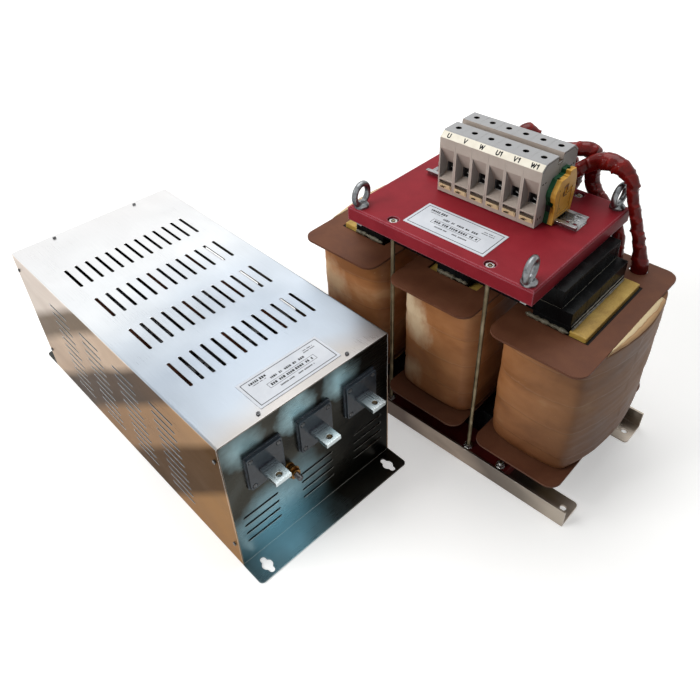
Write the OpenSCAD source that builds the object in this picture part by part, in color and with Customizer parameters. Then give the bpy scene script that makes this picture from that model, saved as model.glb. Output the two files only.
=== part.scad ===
// Three-phase sine wave filter: an open choke on two rails and its capacitor block.
// Millimetres, +Z up. The origin is on the floor, in the middle of the choke's four fixing holes.
// The choke's windings stand side by side along X, and its terminals face -Y.

/* [Choke plates and rails] */
// Length of the bottom and top plates, along X
plate_l = 282; // [270:1:300]
// Depth of the plates, along Y
plate_d = 235; // [228:1:250]
// Thickness of the bottom plate
bottom_plate_t = 20; // [14:1:26]
// Thickness of the top plate
top_plate_t = 20; // [14:1:28]
// Bevel along the top edges of the top plate
plate_bevel = 2; // [0.5:0.5:4]
// Length of each foot rail
rail_l = 480; // [440:2:520]
// Height of a rail's upright leg
rail_h = 30; // [24:1:36]
// Width of a rail's foot leg
rail_w = 45; // [40:1:55]
// Sheet thickness of the rails
rail_t = 3; // [2:0.5:4]
// Corner radius at the free corners of a rail's foot leg
rail_corner_r = 6; // [2:1:10]
// Diameter of the fixing holes in the rails
rail_hole_d = 9; // [7:0.5:12]
// Fixing hole centre from the rail's end
rail_hole_end = 13; // [10:0.5:20]
// Fixing hole centre from the rail's outer face
rail_hole_in = 26; // [18:0.5:30]
// Screw centre from the rail's outer face
rail_screw_in = 14; // [12:0.5:18]

/* [Plate fasteners] */
// Half the spacing of the tie rods along X
tie_x = 74; // [72:0.5:80]
// Half the spacing of the tie rods along Y
tie_y = 104; // [98:1:107]
// Diameter of the tie rods
tie_d = 6; // [5:0.5:8]
// Counterbore over each tie rod in the top plate
tie_sink_d = 15; // [14:0.5:18]
// Depth of that counterbore
tie_sink = 8; // [7:0.5:12]
// How far a tie rod screws into the bottom plate
tie_bite = 14; // [8:1:18]
// Half the spacing of the rail screws along X
rail_screw_x = 129; // [124:1:134]
// Distance between flats of the small nuts
nut_af = 10; // [10:0.5:11]
// Thickness of the small nuts
nut_t = 5; // [4:0.5:6]
// Diameter of the small washers
washer_d = 13; // [12:0.5:13.5]
// Thickness of the washers
washer_t = 1.2; // [1:0.1:2]
// Half the spacing of the lifting eyebolts along X
eye_x = 127; // [120:1:129]
// Half the spacing of the lifting eyebolts along Y
eye_y = 106; // [100:1:107]
// Inner diameter of an eyebolt's ring
eye_ring_d = 20; // [18:1:24]
// Thickness of an eyebolt's ring
eye_bar_d = 8; // [6:0.5:9]
// Collar diameter of an eyebolt
eye_collar_d = 20; // [17:0.5:21]
// Collar height of an eyebolt
eye_collar_t = 6; // [4:0.5:8]
// Shank diameter of an eyebolt
eye_shank_d = 8; // [6:0.5:9]

/* [Core] */
// Width of a core limb, along X
limb_w = 50; // [40:1:56]
// Spacing of the limbs, along X
limb_pitch = 146; // [143:0.5:149]
// Depth of the core stack, along Y
core_d = 140; // [120:1:142]
// Height of the limbs between the yokes
limb_h = 219; // [210:1:235]
// Height of the outer layer of a yoke
yoke_outer_h = 25; // [18:1:30]
// Height of the inner layer of a yoke
yoke_inner_h = 20; // [14:1:26]
// How far the outer layer is set back at each end
yoke_step = 15; // [4:1:20]
// Number of blocks in the outer layer of a yoke
yoke_blocks = 6; // [4:1:8]
// Number of blocks that a limb is stacked from
limb_blocks = 4; // [3:1:5]
// Thickness of the gap plates between the blocks
gap_t = 3; // [1:0.5:5]
// Depth of the joint lines between the yoke's blocks
joint_cut = 0.8; // [0.4:0.1:1.5]

/* [Windings] */
// Spacing of the windings, along X
coil_pitch = 157.5; // [155:0.5:164]
// Width of a winding, along X
coil_w = 130; // [122:1:132]
// Depth of a winding, along Y
coil_d = 212; // [200:1:220]
// Gap between a top flange and the top yoke
coil_top_gap = 11.5; // [7:0.5:16]
// Corner radius of a winding
coil_r = 34; // [24:1:40]
// Radius of the crown on the end faces of a winding
coil_crown_r = 260; // [220:10:400]
// How far the outer windings swell past their flanges
coil_swell = 13; // [4:0.5:16]
// Radius of that swelling
coil_swell_r = 300; // [240:10:420]
// Thickest place of the swelling behind the winding's middle
coil_swell_y = 15; // [0:1:20]
// Height of the winding above the top of the bottom yoke
coil_lift = 8.5; // [6:0.5:9.5]
// Width of the window through a winding
window_w = 80; // [78:0.5:84]
// Depth of the window through a winding
window_d = 144; // [143:0.5:148]
// Width of a flange, along X
flange_w = 130; // [126:1:134]
// Depth of a flange, along Y
flange_d = 260; // [250:1:270]
// Thickness of a flange
flange_t = 3; // [2:0.5:4]
// Corner radius of a flange
flange_r = 18; // [10:1:26]
// Height of a paper wrap's edge over the winding
wrap_t = 0.8; // [0.4:0.1:1.2]
// How far the limb wedges stand above the top flange
wedge_rise = 6; // [2:0.5:8]
// Gap between an outer wedge and its winding
wedge_gap = 1.5; // [0.5:0.25:3]
// Width of the bars that carry the windings
support_w = 20; // [10:1:24]
// Length of the paper cuffs beside the outer flanges
cuff_l = 144; // [120:1:150]
// Height of the paper cuffs
cuff_h = 4; // [2:0.5:6]

/* [Leads] */
// Diameter of the taped leads
lead_d = 16; // [13:0.5:17]
// Diameter of the bare lead ends in the clamps
lead_bare_d = 11; // [8:0.5:12]
// Half the spacing of a winding's two lead holes
lead_x = 18; // [16:0.5:20]
// Lead hole centre behind the winding's middle
lead_y = 106; // [104:0.5:107]
// Diameter of the lead holes in the flanges
lead_hole_d = 24; // [22:0.5:26]
// Depth of the pocket where a lead leaves its winding
lead_pocket = 20; // [10:1:30]

/* [Terminals] */
// Number of line and load terminals
pole_count = 6; // [3:1:6]
// Spacing of the terminals
pole_pitch = 25; // [22:0.5:26]
// Gap between two terminal housings
pole_gap = 0.2; // [0.1:0.05:0.4]
// Middle of the terminal row, along X
poles_x = -1.5; // [-6:0.5:3]
// Middle of the terminals and their rail, along Y
poles_y = 33; // [30:0.5:36]
// Depth of a terminal housing
pole_d = 84; // [78:1:88]
// Height of a terminal housing over the top plate
pole_h = 86; // [82:1:92]
// Gap under a terminal housing
pole_foot = 1.5; // [1:0.25:2]
// Depth of the slope that carries the markers
slope_d = 7.5; // [6:0.5:9]
// Height of the marker slope
slope_h = 6.5; // [5:0.5:8]
// Width of the groove between a housing's two towers
groove_w = 12; // [8:0.5:14]
// Depth of that groove
groove_h = 10; // [6:0.5:14]
// Wall between two wire funnels
funnel_wall = 2; // [1.5:0.25:3]
// Depth of the wire funnels
funnel_d = 15; // [10:0.5:17]
// Height of a funnel's upper edge above its clamp opening
funnel_rise = 25; // [20:1:27]
// Clamp opening above the top plate
clamp_z = 25; // [24:0.5:28]
// Size of the square clamp opening
clamp_size = 14; // [12:0.5:15]
// Depth of a clamp cage
cage_d = 14; // [12:0.5:15]
// Diameter of the clamp screws
clamp_screw_d = 7; // [5:0.5:8]
// Diameter of the screwdriver holes
driver_hole_d = 8; // [7.5:0.5:9]
// Wall beside the ledges under a funnel
ledge_wall = 2.5; // [2:0.25:4]
// Depth of the upper ledge
ledge_d = 10; // [6:0.5:12]
// Height of the upper ledge
ledge_h = 4.5; // [3:0.5:5]
// Depth of a rail catch in its housing
catch_d = 8; // [6:0.5:9]
// How far a rail catch stands out
catch_out = 1; // [0.5:0.25:2]
// Height of a rail catch
catch_h = 6; // [4:0.5:6]
// Length of the mounting rail
din_l = 232; // [224:1:250]
// Width of the mounting rail
din_w = 35; // [35:0.5:36]
// Height of the mounting rail
din_h = 7.5; // [7:0.25:8.5]
// Sheet thickness of the mounting rail
din_t = 1; // [0.8:0.1:1.5]
// Screw centre from the end of the mounting rail
din_screw_end = 14; // [12:0.5:18]
// Length of the mounting rail's slots
din_slot_l = 15; // [10:0.5:18]
// Width of the mounting rail's slots
din_slot_w = 5.2; // [4.4:0.1:6]
// Diameter of the mounting rail's screws
din_screw_d = 4; // [3:0.5:4]
// Length of those screws
din_screw_l = 11; // [8:0.5:16]
// Thickness of each half of the earth terminal
earth_half_t = 6.5; // [5:0.5:8]
// Depth of the earth terminal's body
earth_d = 50; // [48:1:54]
// Height of the earth terminal's front tower
earth_front_h = 60; // [56:1:62]
// Height of the earth terminal's rear tower
earth_rear_h = 66; // [63:1:70]
// Screw centres of the earth terminal from its middle
earth_screw_y = 11; // [9:0.5:11]
// Diameter of the earth terminal's screws
earth_screw_d = 5; // [4:0.5:6]
// Front edge of the recess in the earth terminal's outer face
earth_recess_y = -12; // [-14:1:-8]
// Length of that recess
earth_recess_l = 28; // [22:1:29]
// Height of that recess above the top plate
earth_recess_z = 12; // [10:1:16]
// Height of the recess from edge to edge
earth_recess_h = 30; // [24:1:32]
// Height of the marker slot above the top plate
earth_slot_z = 36; // [34:1:38]
// Height of the marker slot from edge to edge
earth_slot_h = 14; // [10:1:15]

/* [Labels] */
// Length of the choke's label
label_l = 123; // [110:1:130]
// Width of the choke's label
label_w = 55; // [40:1:58]
// Middle of the choke's label, along X
label_x = -1.5; // [-10:0.5:8]
// Front edge of the choke's label, along Y
label_y = -98; // [-104:1:-92]
// Thickness of the labels
label_t = 0.6; // [0.4:0.1:1]
// Length of the block's label
block_label_l = 126; // [110:1:130]
// Width of the block's label
block_label_w = 50; // [40:1:54]
// Distance of the block's label from the terminal end
block_label_in = 12; // [12:1:20]

/* [Capacitor block] */
// Centre of the block from the choke's centre, along X
block_x = -298; // [-320:1:-280]
// Centre of the block from the choke's centre, along Y
block_y = -291; // [-320:1:-285]
// Turn of the block, in degrees
block_turn = -3.3; // [-4:0.1:1]
// Length of the block without its feet
block_l = 534; // [520:1:560]
// Width of the block
block_w = 270; // [262:1:284]
// Height of the block
block_h = 234; // [226:1:250]
// Sheet thickness of the block's cover and panels
sheet_t = 1.5; // [1:0.25:2]
// Fit between the cover and the panels
sheet_fit = 0.3; // [0.2:0.05:0.5]
// Length of the foot flanges at both ends
foot_l = 39; // [34:1:46]
// Corner radius of the foot flanges
foot_r = 6; // [3:1:12]
// Depth of the folds behind the panels
fold_d = 18; // [14:1:22]
// Keyhole centre from the block's side
keyhole_in = 22.5; // [20:0.5:28]
// Keyhole centre from the panel
keyhole_out = 22; // [18:0.5:23]
// Diameter of a keyhole's middle
keyhole_d = 15; // [12:0.5:16]
// Width of a keyhole's slots
keyhole_slot = 8; // [6:0.5:9]
// Length of a keyhole from end to end
keyhole_l = 27; // [24:0.5:30]
// Cover screw centre from the end of the cover
cover_screw_end = 8.5; // [7:0.5:9]
// Half the spacing of the cover screws on top
cover_screw_y = 69.7; // [66:0.1:80]
// Height of the lower cover screws in the sides
cover_screw_low = 42; // [30:1:60]
// Height of the upper cover screws in the sides
cover_screw_high = 207; // [190:1:212]
// Diameter of the cover screws
cover_screw_d = 3; // [2.5:0.5:3]

/* [Vent slots] */
// Length of a vent slot
slot_l = 55; // [45:1:60]
// Width of a vent slot
slot_w = 4.5; // [3:0.5:6]
// Spacing of the slots in the cover's top
slot_pitch = 16.3; // [14:0.1:17]
// Number of slots in a row of the cover's top
slot_count = 13; // [9:1:13]
// Number of slot rows along the block
slot_rows = 4; // [2:1:4]
// Spacing of the slot rows
slot_row_pitch = 92.5; // [80:0.5:100]
// Number of slots above each other in a side
side_slots = 11; // [6:1:11]
// Spacing of the slots in the sides
side_slot_pitch = 16; // [12:0.5:16]
// Height of the lowest slot in the sides
side_slot_z = 33; // [28:1:40]
// Spacing of the slot groups in the front panel
front_slot_pitch = 93; // [75:0.5:94]
// Number of slots in a group of the front panel
front_slots = 4; // [2:1:4]
// Height of the lowest slot in the front panel
front_slot_z = 40; // [34:1:44]
// Spacing of the slots above each other in the front panel
front_slot_step = 16.2; // [12:0.2:17]

/* [Block terminals] */
// Spacing of the insulators
bar_pitch = 79; // [70:0.5:84]
// Height of the bars' top face
bar_z = 168; // [160:1:176]
// Width of a terminal bar
bar_w = 23; // [20:0.5:26]
// Thickness of a terminal bar
bar_t = 6; // [4:0.5:8]
// How far a terminal bar stands out
bar_out = 39; // [34:0.5:46]
// Length of a terminal bar inside the block
bar_in = 38; // [32:1:41]
// Diameter of the tapped hole in a terminal bar
bar_hole_d = 8; // [6:0.5:10]
// Hole centre from the end of the terminal bar
bar_hole_end = 8.5; // [7:0.5:12]
// Width of an insulator
insulator_w = 55; // [50:1:62]
// Height of an insulator
insulator_h = 58; // [50:1:62]
// Thickness of an insulator in front of the panel
insulator_t = 7; // [6:0.5:10]
// Length of an insulator's collar behind the panel
collar_l = 8; // [5:0.5:12]
// Insulator screw from the insulator's edge
insulator_screw_in = 7; // [6:0.5:9]
// Earth stud from the block's middle
stud_y = -45; // [-50:0.5:-36]
// Height of the earth stud
stud_z = 121; // [112:1:126]
// Diameter of the earth stud
stud_d = 8; // [6:0.5:10]

/* [Inside the block] */
// Gap between two capacitor cans
can_gap = 6; // [4:0.5:14]
// Gap between the end cans and the panels, folds included
can_end = 23; // [21:0.5:30]
// Gap between the cans and the cover's sides
can_side = 11; // [6:0.5:18]
// Height of a capacitor can
can_h = 160; // [150:1:165]
// Difference between a can's diameter and its head's
head_step = 32; // [20:1:46]
// Height of the plastic head on a can
head_h = 18; // [14:1:20]
// Height of the shelf that the cans stand through
shelf_z = 110; // [90:1:140]
// Width of the phase bars over the cans
phase_w = 20; // [14:1:24]
// Thickness of the phase bars
phase_t = 3; // [2:0.5:4]
// Width of the cross beams
beam_w = 18; // [14:1:22]
// Height of the cross beams
beam_h = 12; // [8:1:14]

/* [Hidden] */
$fn = 64;
eps = 0.01;
nut_lift = 0.05;

// Levels of the choke, from the floor up
bottom_top = rail_t + bottom_plate_t;
yoke_h = yoke_outer_h + yoke_inner_h;
limb_z = bottom_top + yoke_h;
top_yoke_z = limb_z + limb_h;
top_plate_z = top_yoke_z + yoke_h;
choke_top = top_plate_z + top_plate_t;
coil_z = limb_z + coil_lift;
coil_h = limb_h - coil_lift - flange_t - coil_top_gap;
top_flange_z = coil_z + coil_h;
top_flange_top = top_flange_z + flange_t;
core_l = 2 * limb_pitch + limb_w;
can_pitch = (block_l - 2 * can_end) / 4;
can_across = block_w / 2 - can_side;
can_d = min(can_pitch, can_across) - can_gap;
head_d = can_d - head_step;
rail_screw_y = plate_d / 2 - rail_screw_in;
fit = 0.3;

// Two-dimensional helpers

module round_rect(w, d, r) {
    square([w - 2 * r, d], center = true);
    square([w, d - 2 * r], center = true);
    for (x = [-1, 1], y = [-1, 1]) translate([x * (w / 2 - r), y * (d / 2 - r)]) circle(r = r);
}

module long_slot(l, w) {
    square([l - w, w], center = true);
    for (x = [-1, 1]) translate([x * (l - w) / 2, 0]) circle(d = w, $fn = 16);
}

// Fasteners: each stands on z = 0 with its axis along +Z

module nut(af, t, hole) {
    difference() {
        cylinder(d = af / cos(30), h = t, $fn = 6);
        translate([0, 0, -eps]) cylinder(d = hole, h = t + 2 * eps);
    }
}

module washer(d, t, hole) {
    difference() {
        cylinder(d = d, h = t);
        translate([0, 0, -eps]) cylinder(d = hole, h = t + 2 * eps);
    }
}

module nut_on_washer(hole) {
    washer(washer_d, washer_t, hole + fit);
    translate([0, 0, washer_t]) nut(nut_af, nut_t, hole + 2 * nut_lift);
}

module pan_screw(d, l) {
    cylinder(d = d, h = l);
    translate([0, 0, l]) difference() {
        cylinder(d = 1.8 * d, h = 0.6 * d);
        translate([0, 0, 0.3 * d]) {
            translate([-d, -0.12 * d, 0]) cube([2 * d, 0.24 * d, d]);
            translate([-0.12 * d, -d, 0]) cube([0.24 * d, 2 * d, d]);
        }
    }
}

module at_corners(x, y) {
    for (sx = [-1, 1], sy = [-1, 1]) translate([sx * x, sy * y, 0]) children();
}

// Rails, plates and what clamps them

module rail() {
    color("silver") difference() {
        union() {
            translate([0, -plate_d / 2 + rail_w / 2, 0]) linear_extrude(rail_t) {
                round_rect(rail_l, rail_w, rail_corner_r);
                translate([-rail_l / 2, -rail_w / 2]) square([rail_l, rail_w / 2]);
            }
            translate([-rail_l / 2, -plate_d / 2, 0]) cube([rail_l, rail_t, rail_h]);
        }
        for (x = [-1, 1]) {
            translate([x * (rail_l / 2 - rail_hole_end), -plate_d / 2 + rail_hole_in, -eps])
                cylinder(d = rail_hole_d, h = rail_t + 2 * eps);
            translate([x * rail_screw_x, -rail_screw_y, -eps]) {
                cylinder(d = tie_d + fit, h = rail_t + 2 * eps);
                cylinder(d1 = 2 * tie_d + fit, d2 = tie_d + fit, h = rail_t - 0.5);
            }
        }
    }
}

module front_rail() {
    rail();
}

module rear_rail() {
    rotate([0, 0, 180]) rail();
}

// Countersunk screws that come up through the rails and the bottom plate
module rail_screws() {
    color("gainsboro") at_corners(rail_screw_x, rail_screw_y) difference() {
        union() {
            cylinder(d1 = 2 * tie_d, d2 = tie_d, h = rail_t - 0.5);
            cylinder(d = tie_d, h = bottom_top + washer_t + nut_t + 2);
        }
        translate([0, 0, -eps]) cylinder(d = 0.6 * tie_d, h = 1.2, $fn = 6);
    }
}

module bottom_plate() {
    color([0.42, 0.08, 0.08]) difference() {
        translate([0, 0, rail_t]) linear_extrude(bottom_plate_t)
            square([plate_l, plate_d - 2 * rail_t - 2 * fit], center = true);
        at_corners(rail_screw_x, rail_screw_y)
            cylinder(d = tie_d + fit, h = bottom_top + eps);
        at_corners(tie_x, tie_y) translate([0, 0, bottom_top - tie_bite])
            cylinder(d = tie_d, h = tie_bite + eps);
    }
}

// Laminate plate with bevelled top edges, sunk holes for the tie rods and holes for the eyebolts
module top_plate() {
    b = plate_bevel;
    color([0.62, 0.16, 0.18]) difference() {
        translate([0, 0, top_plate_z]) intersection() {
            translate([-plate_l / 2, 0, 0]) rotate([90, 0, 90]) linear_extrude(plate_l)
                plate_section(plate_d, b);
            translate([0, plate_d / 2, 0]) rotate([90, 0, 0]) linear_extrude(plate_d)
                plate_section(plate_l, b);
        }
        at_corners(tie_x, tie_y) translate([0, 0, top_plate_z - eps]) {
            cylinder(d = tie_d + fit, h = top_plate_t);
            translate([0, 0, top_plate_t - tie_sink]) cylinder(d = tie_sink_d, h = tie_sink + 1);
        }
        at_corners(eye_x, eye_y) translate([0, 0, top_plate_z - eps])
            cylinder(d = eye_shank_d + fit, h = top_plate_t + 1);
        for (s = [-1, 1]) translate([din_screw_x(s), poles_y, choke_top - din_screw_l - 1])
            cylinder(d = din_screw_d, h = din_screw_l + 2);
    }
}

module plate_section(w, b) {
    polygon([[-w / 2, 0], [w / 2, 0], [w / 2, top_plate_t - b], [w / 2 - b, top_plate_t],
             [-w / 2 + b, top_plate_t], [-w / 2, top_plate_t - b]]);
}

module tie_rods() {
    bottom = bottom_top - tie_bite;
    top = choke_top - tie_sink + washer_t + nut_t + 1;
    color([0.75, 0.7, 0.58]) at_corners(tie_x, tie_y)
        translate([0, 0, bottom]) cylinder(d = tie_d, h = top - bottom);
}

// Nuts on washers: on the rail screws, and at both ends of the tie rods
module plate_nuts() {
    color("gainsboro") {
        at_corners(rail_screw_x, rail_screw_y) translate([0, 0, bottom_top]) nut_on_washer(tie_d);
        at_corners(tie_x, tie_y) for (z = [bottom_top, choke_top - tie_sink])
            translate([0, 0, z]) nut_on_washer(tie_d);
    }
}

// Turn of each eyebolt's ring from the X axis: front left, rear left, front right, rear right
eye_turns = [96, 92, 97, 87];

module eyebolt() {
    shank = top_plate_t + washer_t + nut_t + 2;
    ring_r = (eye_ring_d + eye_bar_d) / 2;
    translate([0, 0, -shank]) cylinder(d = eye_shank_d, h = shank + eye_collar_t);
    cylinder(d = eye_collar_d, h = eye_collar_t / 2);
    translate([0, 0, eye_collar_t / 2])
        cylinder(d1 = eye_collar_d, d2 = 0.7 * eye_collar_d, h = eye_collar_t / 2);
    translate([0, 0, eye_collar_t - 2 + ring_r]) rotate([90, 0, 0])
        rotate_extrude() translate([ring_r, 0]) circle(d = eye_bar_d);
}

module eyebolts() {
    color("lightgray") for (i = [0:3]) {
        sx = i < 2 ? -1 : 1;
        sy = i % 2 == 0 ? -1 : 1;
        translate([sx * eye_x, sy * eye_y, choke_top]) rotate([0, 0, eye_turns[i]]) eyebolt();
    }
}

module eyebolt_nuts() {
    color("gainsboro") at_corners(eye_x, eye_y)
        translate([0, 0, top_plate_z]) mirror([0, 0, 1]) {
            washer(eye_shank_d + 9, washer_t, eye_shank_d + fit);
            translate([0, 0, washer_t]) nut(eye_shank_d + 5, nut_t, eye_shank_d + 2 * nut_lift);
        }
}

// Core of stacked, black-varnished blocks

module yoke_layer(l, h, blocks) {
    pitch = l / blocks;
    color([0.09, 0.09, 0.08]) difference() {
        translate([-l / 2, -core_d / 2, 0]) cube([l, core_d, h]);
        for (i = [1:blocks - 1], y = [-1, 1]) translate([-l / 2 + i * pitch, y * core_d / 2, h / 2])
            cube([joint_cut, 2 * joint_cut, h + 1], center = true);
        for (x = [-1, 1], y = [-1:1]) translate([x * l / 2, y * core_d / 4, h / 2])
            cube([2 * joint_cut, joint_cut, h + 1], center = true);
    }
}

module top_yoke_outer() {
    translate([0, 0, top_yoke_z + yoke_inner_h])
        yoke_layer(core_l - 2 * yoke_step, yoke_outer_h, yoke_blocks);
}

module top_yoke_inner() {
    translate([0, 0, top_yoke_z]) yoke_layer(core_l, yoke_inner_h, yoke_blocks + 1);
}

module bottom_yoke_inner() {
    translate([0, 0, bottom_top + yoke_outer_h]) yoke_layer(core_l, yoke_inner_h, yoke_blocks + 1);
}

module bottom_yoke_outer() {
    l = min(core_l - 2 * yoke_step, plate_l);
    translate([0, 0, bottom_top]) yoke_layer(l, yoke_outer_h, yoke_blocks);
}

limb_block_h = (limb_h - (limb_blocks - 1) * gap_t) / limb_blocks;

module limb(i) {
    color([0.12, 0.12, 0.11]) for (k = [0:limb_blocks - 1])
        translate([i * limb_pitch - limb_w / 2, -core_d / 2, limb_z + k * (limb_block_h + gap_t)])
            cube([limb_w, core_d, limb_block_h]);
}

module limb_left() {
    limb(-1);
}

module limb_middle() {
    limb(0);
}

module limb_right() {
    limb(1);
}

// Glass-fibre plates that set the air gaps between a limb's blocks
module gap_plates() {
    color("khaki") for (i = [-1:1], k = [1:limb_blocks - 1])
        translate([i * limb_pitch - limb_w / 2, -core_d / 2, limb_z + k * (limb_block_h + gap_t) - gap_t])
            cube([limb_w, core_d, gap_t]);
}

// Glass-fibre bars that wedge the windings on their limbs
module limb_wedges() {
    wedge_h = top_flange_top + wedge_rise - coil_z;
    outer = coil_pitch + window_w / 2 - limb_pitch - limb_w / 2 - wedge_gap;
    inner = limb_pitch - limb_w / 2 - coil_pitch + window_w / 2 - fit;
    middle = (window_w - limb_w) / 2 - fit;
    color([0.78, 0.62, 0.22]) for (s = [0, 1]) mirror([s, 0, 0]) {
        translate([limb_pitch + limb_w / 2, -core_d / 2, coil_z]) cube([outer, core_d, wedge_h]);
        translate([limb_pitch - limb_w / 2 - inner, -core_d / 2, coil_z]) cube([inner, core_d, coil_h]);
        translate([limb_w / 2, -core_d / 2, coil_z]) cube([middle, core_d, coil_h]);
    }
}

// Bars on the lower yoke that carry the bottom flanges
module coil_supports() {
    outer = coil_pitch - (window_w + flange_w) / 4;
    color([0.78, 0.62, 0.22]) for (x = [-1, 1], c = [(window_w + flange_w) / 4, outer])
        translate([x * c - support_w / 2, -core_d / 2, limb_z])
            cube([support_w, core_d, coil_lift - flange_t]);
}

// Windings: crowned at both ends, with the paper wrap's edges standing as low steps

// Outline of winding i (-1, 0 or 1), with the swelling of an outer one on its outer side
module coil_outline(i, grow) {
    swell = abs(i) * coil_swell;
    scale([i < 0 ? -1 : 1, 1]) intersection() {
        translate([swell / 2, 0]) round_rect(coil_w + swell + 2 * grow, coil_d + 2 * grow, coil_r);
        translate([0, coil_crown_r - coil_d / 2 - grow]) circle(r = coil_crown_r, $fn = 128);
        translate([0, coil_d / 2 + grow - coil_crown_r]) circle(r = coil_crown_r, $fn = 128);
        if (swell > 0) translate([coil_w / 2 + swell + grow - coil_swell_r, coil_swell_y])
            circle(r = coil_swell_r, $fn = 128);
    }
}

module coil(i) {
    // Lower and upper edge of each wrap, and how far it stands out, as shares
    wraps = [[0.16, 0.4, 1], [0.4, 0.72, 0.4], [0.72, 1.0, 1]];
    color([0.66, 0.46, 0.31]) translate([i * coil_pitch, 0, coil_z]) difference() {
        union() {
            linear_extrude(coil_h) coil_outline(i, -wrap_t);
            for (w = wraps) translate([0, 0, w[0] * coil_h])
                linear_extrude((w[1] - w[0]) * coil_h) coil_outline(i, -wrap_t + w[2] * wrap_t);
        }
        translate([0, 0, -eps]) linear_extrude(coil_h + 2 * eps)
            square([window_w, window_d], center = true);
        for (x = [-1, 1]) translate([x * lead_x, lead_y, coil_h - lead_pocket])
            cylinder(d = lead_d + 2 * fit, h = lead_pocket + eps);
    }
}

module coil_left() {
    coil(-1);
}

module coil_middle() {
    coil(0);
}

module coil_right() {
    coil(1);
}

// Paper cuffs folded over the tops of the outer windings, beside their flanges
module coil_cuffs() {
    color([0.86, 0.74, 0.55]) for (i = [-1, 1], k = [0, 1])
        translate([i * coil_pitch, 0, coil_z + coil_h + k * cuff_h / 2])
            linear_extrude(cuff_h / 2) difference() {
                intersection() {
                    coil_outline(i, -wrap_t - 1.2 * k);
                    square([2 * coil_w, cuff_l - 8 * k], center = true);
                }
                square([flange_w + 2 * fit + 2 * k, 2 * coil_d], center = true);
            }
}

module flange(i, holes) {
    color([0.36, 0.22, 0.17]) translate([i * coil_pitch, 0, 0]) linear_extrude(flange_t) difference() {
        round_rect(flange_w, flange_d, flange_r);
        square([window_w, window_d], center = true);
        if (holes) for (x = [-1, 1]) translate([x * lead_x, lead_y]) circle(d = lead_hole_d);
    }
}

module top_flange_left() {
    translate([0, 0, top_flange_z]) flange(-1, true);
}

module top_flange_middle() {
    translate([0, 0, top_flange_z]) flange(0, true);
}

module top_flange_right() {
    translate([0, 0, top_flange_z]) flange(1, true);
}

module bottom_flange_left() {
    translate([0, 0, coil_z - flange_t]) flange(-1, false);
}

module bottom_flange_middle() {
    translate([0, 0, coil_z - flange_t]) flange(0, false);
}

module bottom_flange_right() {
    translate([0, 0, coil_z - flange_t]) flange(1, false);
}

// Leads: each follows its own smooth route from a winding's pocket to a terminal's rear clamp

lead_z = coil_z + coil_h - lead_pocket;
wire_z = choke_top + clamp_z + lead_bare_d / 2 + 0.1;
rear_y = poles_y + pole_d / 2;

function pole_x(i) = poles_x + (i - (pole_count - 1) / 2) * pole_pitch;
function unit(v) = v / norm(v);
function spline(a, b, c, d, t) =
    0.5 * (2 * b + (c - a) * t + (2 * a - 5 * b + 4 * c - d) * t * t
           + (3 * b - a - 3 * c + d) * t * t * t);
function at(p, i) = p[max(0, min(len(p) - 1, i))];
function smooth(p, n) = [
    for (i = [0:len(p) - 2], k = [0:n - 1])
        spline(at(p, i - 1), p[i], p[i + 1], at(p, i + 2), k / n),
    p[len(p) - 1]
];
function way(p, i) = unit(at(p, i + 1) - at(p, i - 1));
function level(v, d) = unit(v - (v * d) * d);
function sides(p) = [
    for (i = 0, s = level([1, 0.3, 0], way(p, 0)); i < len(p);
         i = i + 1, s = level(s, way(p, min(i, len(p) - 1)))) s
];

// A tube with ten sides along the points p, with the radii r
module tube(p, r) {
    n = 10;
    s = sides(p);
    points = [for (i = [0:len(p) - 1], k = [0:n - 1])
        p[i] + r[i] * (cos(360 * k / n) * s[i] + sin(360 * k / n) * cross(way(p, i), s[i]))];
    walls = [for (i = [0:len(p) - 2], k = [0:n - 1])
        [i * n + k, i * n + (k + 1) % n, (i + 1) * n + (k + 1) % n, (i + 1) * n + k]];
    ends = [[for (k = [n - 1:-1:0]) k], [for (k = [0:n - 1]) (len(p) - 1) * n + k]];
    polyhedron(points, concat(ends, walls), convexity = 6);
}

// From the pocket up through the flange, along the route, then straight into the clamp.
// A route point holds four shares: of the way along X from hole to clamp, of a lead's thickness
// behind the plate, of the height from flange to terminal top, and of the lead's thickness.
module lead(coil, side, pole, route) {
    hole = [coil * coil_pitch + side * lead_x, lead_y, lead_z];
    into = [pole_x(pole), rear_y, wire_z];
    rise = lead_pocket + flange_t + 6;
    body = concat(
        [for (z = [0, lead_pocket, rise]) [hole.x, hole.y, hole.z + z, 1]],
        [for (q = route) [hole.x + q[0] * (into.x - hole.x), plate_d / 2 + q[1] * lead_d,
                          top_flange_top + q[2] * (choke_top + pole_h - top_flange_top), q[3]]],
        [for (y = [8, -3]) [into.x, into.y + y, into.z, 1]]
    );
    p = smooth(body, 4);
    tail = [for (y = [10, funnel_d + cage_d - 1]) [into.x, into.y - y, into.z]];
    color([0.45, 0.12, 0.1]) tube(
        concat([for (q = p) [q.x, q.y, q.z]], tail),
        concat([for (q = p) q[3] * lead_d / 2], [lead_bare_d / 2, lead_bare_d / 2])
    );
}

module lead_u() {
    lead(-1, -1, 0, [[0.14, 1.03, 0.19, 1], [0.5, 2.2, 0.29, 1.05], [0.84, 1.6, 0.52, 1.1],
                     [0.98, 0.28, 0.66, 1.05], [1, -0.84, 0.687, 1]]);
}

module lead_v() {
    lead(0, -1, 1, [[0.29, 0.47, 0.215, 1], [0.62, 0.9, 0.4, 1], [0.9, 0.47, 0.61, 1],
                    [1, -0.72, 0.687, 1]]);
}

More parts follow.
